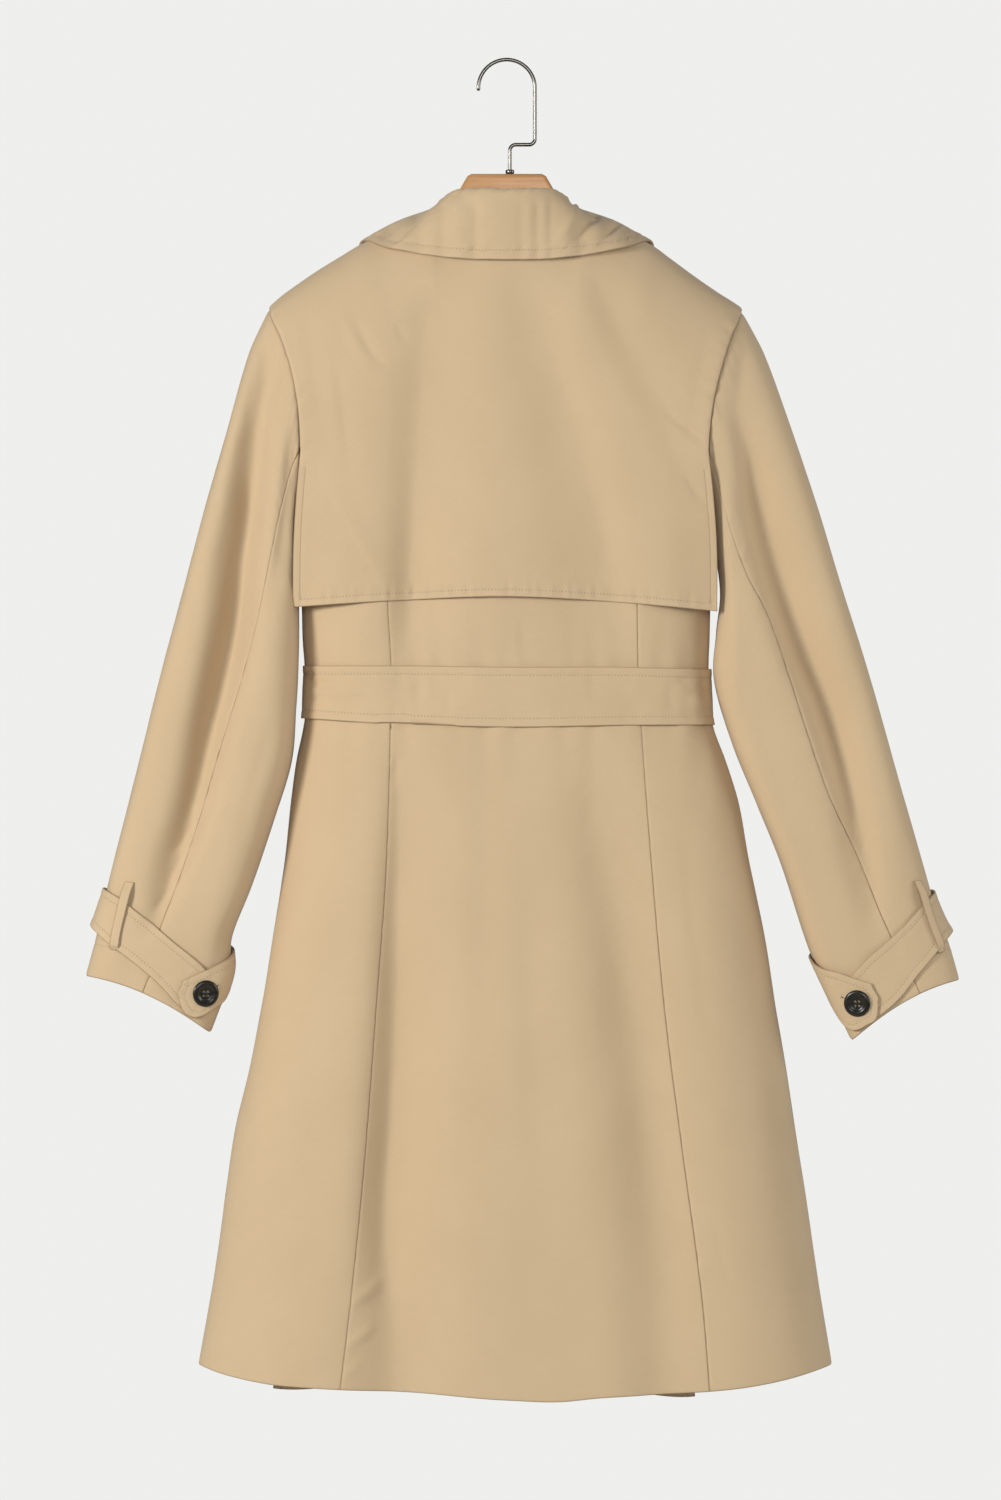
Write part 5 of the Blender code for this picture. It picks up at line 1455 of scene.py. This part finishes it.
def gabardine():
    """Fine steep twill in two near shades, a little faded and soft where it rubs, with painted shade along
    its edges and seams and along its stitching.
    """
    constants = {"Sheen Weight": 0.22, "Sheen Roughness": 0.45, "Specular IOR Level": 0.28}
    finish = Finish("camel_gabardine", constants)
    light, dark = (0.640, 0.478, 0.292), (0.612, 0.453, 0.272)
    faded = tuple(1.22 * c for c in light)
    along = finish.node("UVMap", {"uv_map": "cloth"}, {})
    edge = finish.node("UVMap", {"uv_map": "edge"}, {})
    from_edge, from_thread = (finish.node("SeparateXYZ", {}, {"Vector": edge}, k) for k in (0, 1))

    slant = finish.stretched(along, (1.0, 0.55, 1.0))
    ribs = {"wave_type": "BANDS", "bands_direction": "DIAGONAL"}
    twill = finish.node("TexWave", ribs, {"Vector": slant, "Scale": 640.0, "Distortion": 0.6}, 1)
    yarn = finish.noise(finish.stretched(along, (900.0, 2600.0, 1.0)), 1.0, 1.0)
    slub = finish.noise(finish.stretched(along, (60.0, 500.0, 1.0)), 1.0)
    cloud = finish.noise(along, 11.0, 3.0, 0.55)
    grain = twill * 0.5 + yarn * 0.5

    # In metres from the edge: where it is worn, and the painted shade of a dark line along every edge and
    # seam. Then the painted shade of a dark line along each row of needle holes.
    worn = 1 - finish.stepped(from_edge, 0.0008, 0.0040)
    # sewn is painted shade: the cloth darkens within about a millimetre of every edge and seam.
    sewn = 1 - finish.stepped(from_edge, 0.0002, 0.0011)
    # holes is painted shade: a dark line along each row of stitching, under and between the stitches.
    holes = finish.stepped(from_thread, -0.0007, -0.0001) * (1 - finish.stepped(from_thread, 0.0001, 0.0007))
    colour = finish.mixed(finish.stepped(cloud * 0.7 + slub * 0.3, 0.3, 0.7), dark, light)
    colour = finish.mixed(worn * 0.08 * cloud, colour, faded)
    # The grey is the weave's tone, less the painted edge shade and the painted shade along the stitching; the
    # painted edge shade is also a little browner.
    shade = finish.stepped(grain, 0.1, 0.9) * 0.10 + 0.92 - sewn * 0.30 - holes * 0.30
    grey = finish.node("CombineXYZ", {}, {0: shade, 1: shade - sewn * 0.03, 2: shade - sewn * 0.06})
    finish.shows("Base Color", finish.mixed(1.0, colour, grey, "MULTIPLY"))
    finish.shows("Roughness", 0.70 + cloud * 0.16 - worn * 0.08)
    finish.bump(grain + slub * 0.4, 0.00025, 0.35)
    return finish.material


def sewing_thread(name, dark, light):
    finish = Finish(name, {"Sheen Weight": 0.2, "Specular IOR Level": 0.4})
    ply = finish.noise(finish.place(), 1800.0, 1.0)
    finish.shows("Base Color", finish.mixed(ply, dark, light))
    finish.shows("Roughness", 0.45 + ply * 0.2)
    return finish.material


def horn():
    """Dark olive-black imitation horn, with streaks."""
    finish = Finish("dark_horn", {"Coat Roughness": 0.16, "Specular IOR Level": 0.4})
    black, olive = (0.0075, 0.0065, 0.004), (0.026, 0.021, 0.011)
    streak = finish.noise(finish.stretched(finish.place(), (60.0, 240.0, 400.0)), 1.0, 4.0, 0.6)
    cloud = finish.noise(finish.place(), 320.0, 3.0)
    finish.shows("Base Color", finish.mixed(finish.stepped(streak, 0.42, 0.72), black, olive))
    finish.shows("Roughness", 0.20 + cloud * 0.18)
    finish.shows("Coat Weight", 0.10 + streak * 0.12)
    finish.bump(cloud, 0.00006, 0.4)
    return finish.material


def beech():
    """Varnished beech with its grain along the bar and short dark flecks."""
    finish = Finish("varnished_beech", {"Coat Roughness": 0.22})
    pale, brown, dark = (0.62, 0.325, 0.125), (0.49, 0.235, 0.082), (0.26, 0.12, 0.045)
    grain = finish.noise(finish.stretched(finish.place(), (14.0, 260.0, 260.0)), 1.0, 5.0, 0.6)
    fleck = finish.noise(finish.stretched(finish.place(), (160.0, 1500.0, 1500.0)), 1.0)
    colour = finish.mixed(finish.stepped(grain, 0.3, 0.72), pale, brown)
    finish.shows("Base Color", finish.mixed(finish.stepped(fleck, 0.62, 0.72) * 0.4, colour, dark))
    finish.shows("Roughness", 0.34 + grain * 0.14)
    finish.shows("Coat Weight", 0.08 + grain * 0.12)
    finish.bump(grain + fleck * 0.3, 0.0002, 0.25)
    return finish.material


def plated_wire():
    """Dark plated steel wire with fine drawing lines."""
    finish = Finish("plated_wire", {"Metallic": 1.0})
    drawn = finish.noise(finish.stretched(finish.place(), (300.0, 300.0, 30.0)), 1.0)
    cloud = finish.noise(finish.place(), 60.0)
    finish.shows("Base Color", finish.mixed(cloud, (0.21, 0.20, 0.185), (0.15, 0.14, 0.125)))
    finish.shows("Roughness", 0.20 + drawn * 0.06)
    finish.bump(drawn, 0.000004, 0.1)
    return finish.material


def piece_of(name, shape, finish, slot, *nodes, smooth=40):
    """Turns a bmesh, in metres, into a finished piece."""
    mesh = mesh_of(name, shape)
    mesh.materials.append(finish)
    mesh.shade_smooth()
    mesh.set_sharp_from_angle(angle=math.radians(smooth))
    return finish_piece(linked(name, mesh), slot, *nodes)


def axes_at(centre, x_axis, y_axis, z_axis):
    """The matrix that carries a unit shape to a place, along three axes in millimetres."""
    matrix = Matrix.Identity(4)
    for k, axis in enumerate((x_axis, y_axis, z_axis, centre)):
        for i in range(3):
            matrix[i][k] = float(axis[i]) * MM
    return matrix


def lathe(profile, steps, centre=0.0, closed=False):
    """Turns a half section, in millimetres, about an upright axis."""
    shape = bmesh.new()
    outline = [shape.verts.new(((centre + r) * MM, 0.0, z * MM)) for r, z in profile]
    following = outline[1:] + outline[:1] if closed else outline[1:]
    edges = [shape.edges.new(pair) for pair in zip(outline, following)]
    about = {"cent": (centre * MM, 0, 0), "axis": (0, 0, 1), "angle": math.tau}
    bmesh.ops.spin(shape, geom=outline + edges, steps=steps, use_merge=True, **about)
    bmesh.ops.remove_doubles(shape, verts=shape.verts, dist=1e-6)
    bmesh.ops.recalc_face_normals(shape, faces=shape.faces)
    return shape


def along_edge(sheet, edge, at):
    """The line at a distance from an edge of a sheet: its points, and the directions off the cloth."""
    distance, points, normals = getattr(sheet, edge), sheet.points, sheet.normal
    if edge in ("top", "low"):
        distance, points, normals = distance.T, np.swapaxes(points, 0, 1), np.swapaxes(normals, 0, 1)
    found = []
    for gone, row, off in zip(distance, points, normals):
        order = np.argsort(gone)
        found.append([np.interp(at, gone[order], column[order]) for column in (*row.T, *off.T)])
    found = np.array(found)
    return found[:, :3], found[:, 3:]


def sew(shape, centre, ahead, off, long, wide):
    """One stitch: a small rounded bar."""
    place = axes_at(centre, ahead * long / 2, unit(np.cross(off, ahead)) * wide / 2, off * wide * 0.375)
    bmesh.ops.create_icosphere(shape, subdivisions=1, radius=1.0, matrix=place)


def sampled(columns, gone, spots):
    """Values of a line's columns at distances along it."""
    return np.stack([np.interp(spots, gone, column) for column in columns.T], axis=-1)


def stitches(name, runs, thread, thick):
    """Rows of single stitches, each along its line, on cloth of one thickness."""
    luck = np.random.default_rng(7)
    shape = bmesh.new()
    for points, normals in runs:
        gone = run(points)
        spots = np.arange(STITCH_PITCH, gone[-1] - STITCH_PITCH / 2, STITCH_PITCH)
        ahead = unit(sampled(points, gone, spots + 0.8) - sampled(points, gone, spots - 0.8))
        off = unit(sampled(normals, gone, spots))
        centres = sampled(points, gone, spots) + off * (thick / 2 + THREAD_LIFT)
        for row in zip(centres, ahead, off):
            sew(shape, *row, STITCH_LONG * luck.uniform(0.92, 1.06), STITCH_WIDE)
    piece_of(name, shape, thread, "coat_cloth", smooth=70)


def satin(shape, start, end, off, wide, aside=0.0):
    """Close stitches side by side, across a line from start to end."""
    ahead = unit(end - start)
    across = unit(np.cross(off, ahead))
    for gone in np.arange(0.0, np.linalg.norm(end - start), SATIN_PITCH):
        sew(shape, start + ahead * gone + across * aside, across, off, wide, SATIN_WIDE)


def make_buttonholes(thread, dark_thread_and_slit_shade):
    """The end of each buttonhole beside its button, with its slit as a dark bar of painted shade, and the
    tacks at the feet of the strap carriers.
    """
    shape, slit_shades = bmesh.new(), bmesh.new()
    for word, side in SIDES:
        lift = TAB_LIFT + STRAP / 2 + HOLE_LIFT
        start = sleeve(side, *BUTTON_AT[word], lift)
        end, off = off_sleeve(side, *HOLE_END_AT[word], lift)
        ahead = unit(end - start)
        for aside in (-HOLE_ASIDE, HOLE_ASIDE):
            satin(shape, start + ahead * HOLE_FROM, end, off, HOLE_STITCH, aside)
        # The slit is painted shade: a dark bar where only the shadow inside the opening would be.
        sew(slit_shades, end - ahead * SLIT_BACK, ahead, off, SLIT_LONG, SLIT_WIDE)
        across = unit(np.cross(off, end - start)) * HOLE_BAR
        satin(shape, end - across, end + across, off, BAR_STITCH)
        angle, section = TACK_AT[word]
        lift = SHELL / 2 + TACK_LIFT
        _, off = off_sleeve(side, angle, section, lift)
        start, end = (sleeve(side, angle + turn, section, lift) for turn in (-TACK_HALF, TACK_HALF))
        satin(shape, start, end, off, TACK_STITCH)
    piece_of("buttonhole_stitching", shape, thread, "coat_cloth", smooth=70)
    piece_of("buttonhole_slit_shade", slit_shades, dark_thread_and_slit_shade, "coat_cloth", smooth=70)


def make_buttons(finish, thread):
    drill_size = {"radius1": BUTTON_HOLE * MM, "radius2": BUTTON_HOLE * MM, "depth": BUTTON_DRILL * MM}
    for word, side in SIDES:
        base, off = off_sleeve(side, *BUTTON_AT[word], BUTTON_LIFT)
        turn = Vector(off).to_track_quat("Z", "Y").to_matrix().to_4x4()
        place = Matrix.Translation(Vector(base) * MM) @ turn
        name = "cuff_button_" + word
        button = piece_of(name + "_horn", lathe(BUTTON_PROFILE, 64), finish, "button", name)
        drill = bmesh.new()
        for i in range(4):
            spot = math.radians(45 + 90 * i)
            out = BUTTON_HOLES_OUT * MM
            at = Matrix.Translation((math.cos(spot) * out, math.sin(spot) * out, 0))
            bmesh.ops.create_cone(drill, cap_ends=True, segments=20, matrix=at, **drill_size)
        cutter = linked("drill", mesh_of("drill", drill))
        cut = button.modifiers.new("holes", "BOOLEAN")
        cut.operation = "DIFFERENCE"
        cut.object = cutter
        bpy.context.view_layer.update()
        graph = bpy.context.evaluated_depsgraph_get()
        drilled = bpy.data.meshes.new_from_object(button.evaluated_get(graph))
        button.modifiers.clear()
        button.data = drilled
        bpy.data.objects.remove(cutter)
        button.data.transform(place)
        button.data.update()
        make_button_thread(name, place, thread)


def make_button_thread(name, place, thread):
    """Two rows of thread through the four holes."""
    shape = bmesh.new()
    out = BUTTON_HOLES_OUT * math.cos(math.radians(45))
    for across in (-out, out):
        for shift in (-0.28, 0.0, 0.28):
            high = 0.42 - abs(shift) / 2
            bar = axes_at((across + shift, 0.0, 2.1), (0.17, 0, 0), (0, out + 0.35, 0), (0, 0, high))
            bmesh.ops.create_icosphere(shape, subdivisions=2, radius=1.0, matrix=place @ bar)
    piece_of(name + "_thread", shape, thread, "button", smooth=70)


def make_hanger(finish):
    upper, lower = [], []
    for side in (1, -1):
        rows = [(side * x, top or float(ridge(side * x)) - HANGER_CLEAR, high) for x, top, high in HANGER]
        upper.append([(x, top) for x, top, _ in rows])
        lower.append([(x, top - high) for x, top, high in rows])
    outline = upper[0] + lower[0][::-1] + lower[1][1:] + upper[1][:0:-1]
    shape = bmesh.new()
    corners = [shape.verts.new((x * MM, -HANGER_THICK / 2 * MM, z * MM)) for x, z in outline]
    grown = bmesh.ops.extrude_face_region(shape, geom=[shape.faces.new(corners)])["geom"]
    moved = [v for v in grown if isinstance(v, bmesh.types.BMVert)]
    bmesh.ops.translate(shape, verts=moved, vec=(0, HANGER_THICK * MM, 0))
    bmesh.ops.recalc_face_normals(shape, faces=shape.faces)
    rims = [e for e in shape.edges if e.calc_face_angle(0.0) > math.radians(60)]
    rounding = {"offset": HANGER_ROUND * MM, "segments": 5, "profile": 0.5, "affect": "EDGES", "material": -1}
    bmesh.ops.bevel(shape, geom=rims, **rounding)
    piece_of("hanger", shape, finish, "beech", "hanger_bar", smooth=50)


def arc(x, z, radius, first, last, steps):
    """Points of an arc in the plane of the hanger, between two angles."""
    turns = np.radians(np.linspace(first, last, steps + 1))
    return [(x + radius * math.cos(a), 0.0, z + radius * math.sin(a)) for a in turns]


def free_edges(ring):
    return {e for v in ring for e in v.link_edges if e.other_vert(v) in ring and len(e.link_faces) < 2}


def swept(shape, path, radius, sides):
    """A round wire along a path in the plane of the hanger, with rounded ends."""
    path = np.array(path, float)
    ahead = unit(np.gradient(path, axis=0))
    rings = []
    # Point of the path, and how far past it and how wide the ring there is, in radii
    steps = [(0, -0.75, 0.45), (0, -0.4, 0.85)] + [(i, 0.0, 1.0) for i in range(len(path))]
    steps += [(len(path) - 1, 0.4, 0.85), (len(path) - 1, 0.75, 0.45)]
    for i, past, wide in steps:
        centre = path[i] + ahead[i] * past * radius
        off = np.array([ahead[i][2], 0.0, -ahead[i][0]])
        size = radius * wide * MM
        circle = bmesh.ops.create_circle(shape, cap_ends=False, radius=size, segments=sides)["verts"]
        axes = (axis / MM for axis in (off, np.array([0.0, 1.0, 0.0]), ahead[i]))
        bmesh.ops.transform(shape, matrix=axes_at(centre, *axes), verts=circle)
        rings.append(circle)
    for first, second in zip(rings, rings[1:]):
        bmesh.ops.bridge_loops(shape, edges=list(free_edges(first) | free_edges(second)))
    for ring in (rings[0], rings[-1]):
        shape.faces.new(ring)
    bmesh.ops.recalc_face_normals(shape, faces=shape.faces)


def make_hook(finish):
    """Stem, jog, upright and arc of one bent wire."""
    foot, bend = WOOD_TOP + FERRULE_GAP, HOOK_BEND
    path = [(HOOK_STEM_X, 0.0, z) for z in np.linspace(foot, HOOK_JOG - bend, 5)]
    path += arc(HOOK_STEM_X + bend, HOOK_JOG - bend, bend, 180, 90, 8)[1:]
    path += arc(HOOK_ARC - bend, HOOK_JOG + bend, bend, -90, 0, 8)
    path += arc(0.0, WIRE - HOOK_ARC, HOOK_ARC, 0, HOOK_TURN, 54)
    shape = bmesh.new()
    swept(shape, path, WIRE, 20)
    piece_of("hook_wire", shape, finish, "hook_steel", "hanger_hook", smooth=60)


def make_ferrule(finish):
    low, bore, out, top = WOOD_TOP + FERRULE_GAP, WIRE + FERRULE_GAP, FERRULE_RADIUS, FERRULE_TOP
    profile = (
        (bore, low),
        (out - 0.4, low),
        (out, low + 0.4),
        (out, top - 0.9),
        (out - 0.2, top - 0.35),
        (out - 0.6, top),
        (bore + 0.3, top),
        (bore, top - 0.3),
    )
    shape = lathe(profile, 48, HOOK_STEM_X, closed=True)
    piece_of("ferrule", shape, finish, "hook_steel", "hook_ferrule", smooth=45)


def make_floor():
    """A plain pale studio floor well below the hem."""
    finish = Finish("studio_floor", {"Roughness": 0.9})
    cloud = finish.noise(finish.place(), 1.5)
    finish.shows("Base Color", finish.mixed(cloud, (0.72, 0.72, 0.71), (0.76, 0.76, 0.75)))
    shape = bmesh.new()
    place = Matrix.Translation((0, 1.2, -1.75))
    bmesh.ops.create_grid(shape, x_segments=2, y_segments=2, size=2.5, matrix=place)
    floor = linked("studio_floor", mesh_of("studio_floor", shape))
    floor.data.materials.append(finish.material)


def aimed(obj, place, target):
    obj.location = place
    obj.rotation_euler = (Vector(target) - Vector(place)).to_track_quat("-Z", "Y").to_euler()


def area_light(name, place, wide, watts, colour):
    light = bpy.data.lights.new(name, "AREA")
    light.shape = "DISK"
    light.size = wide
    light.energy = watts
    light.color = colour
    aimed(linked(name, light), place, LIT_MIDDLE)


def make_world():
    """A pale even backdrop to the eye, and a dimmer light round the coat."""
    world = bpy.data.worlds.new("studio")
    world.use_nodes = True
    bpy.context.scene.world = world
    nodes, links = world.node_tree.nodes, world.node_tree.links
    seen = nodes["Background"]
    around, mix = nodes.new("ShaderNodeBackground"), nodes.new("ShaderNodeMixShader")
    seen.inputs["Color"].default_value = BACKDROP
    around.inputs["Color"].default_value = AROUND
    around.inputs["Strength"].default_value = AROUND_STRENGTH
    rays = nodes.new("ShaderNodeLightPath")
    links.new(rays.outputs["Is Camera Ray"], mix.inputs[0])
    links.new(around.outputs[0], mix.inputs[1])
    links.new(seen.outputs[0], mix.inputs[2])
    links.new(mix.outputs[0], nodes["World Output"].inputs["Surface"])


def make_camera():
    """Square on to the back, so far off that the coat is seen as the photo shows it."""
    centre_x = (PHOTO_WIDE / 2 - ORIGIN_PIXEL[0]) * PIXEL * MM
    centre_z = (ORIGIN_PIXEL[1] - PHOTO_HIGH / 2) * PIXEL * MM
    lens = bpy.data.cameras.new("camera")
    lens.sensor_width = SENSOR
    lens.lens = SENSOR * CAMERA_AWAY / (PHOTO_HIGH * PIXEL * MM)
    lens.clip_end = 50.0
    camera = linked("camera", lens)
    aimed(camera, (centre_x, CLOTH_PLANE - CAMERA_AWAY, centre_z), (centre_x, 0.0, centre_z))
    bpy.context.scene.camera = camera


def main():
    make_camera()
    make_world()
    bpy.context.scene.view_settings.view_transform = "Standard"
    for light in LIGHTS:
        area_light(*light)
    make_floor()

    coat = gabardine()
    thread = sewing_thread("sewing_thread", (0.64, 0.50, 0.325), (0.78, 0.64, 0.44))
    # Dark thread for the buttons, also used as the painted shade of the buttonhole slits.
    dark_thread_and_slit_shade = sewing_thread("button_thread_and_slit_shade", (0.016, 0.014, 0.009), (0.05, 0.043, 0.028))
    make_hanger(beech())
    steel = plated_wire()
    make_hook(steel)
    make_ferrule(steel)
    make_fronts(coat)
    make_back(coat)
    flap = make_flap(coat)
    collar = make_collar(coat)
    make_lapels(coat)
    sleeves = make_sleeves(coat)
    straps = make_straps(coat)
    make_carriers(coat)
    belt = make_belt(coat)
    make_buttons(horn(), dark_thread_and_slit_shade)

    stitches("flap_stitching", [along_edge(flap, "low", STITCH_IN)], thread, SHELL)
    stitches("collar_stitching", [along_edge(collar, "low", COLLAR_STITCH_IN)], thread, COLLAR)
    both = ("top", "low")
    stitches("belt_stitching", [along_edge(belt, edge, BELT_STITCH_IN) for edge in both], thread, BELT)
    runs = [along_edge(sheet, edge, STITCH_IN) for sheet in straps.values() for edge in both]
    runs += [along_edge(straps[edge], edge, STITCH_IN) for edge in ("left", "right")]
    stitches("strap_stitching", runs, thread, STRAP)
    runs = [along_edge(sheet, "low", SLEEVE_HEM) for sheet in sleeves]
    stitches("sleeve_hem_stitching", runs, thread, SHELL)
    make_buttonholes(thread, dark_thread_and_slit_shade)


main()
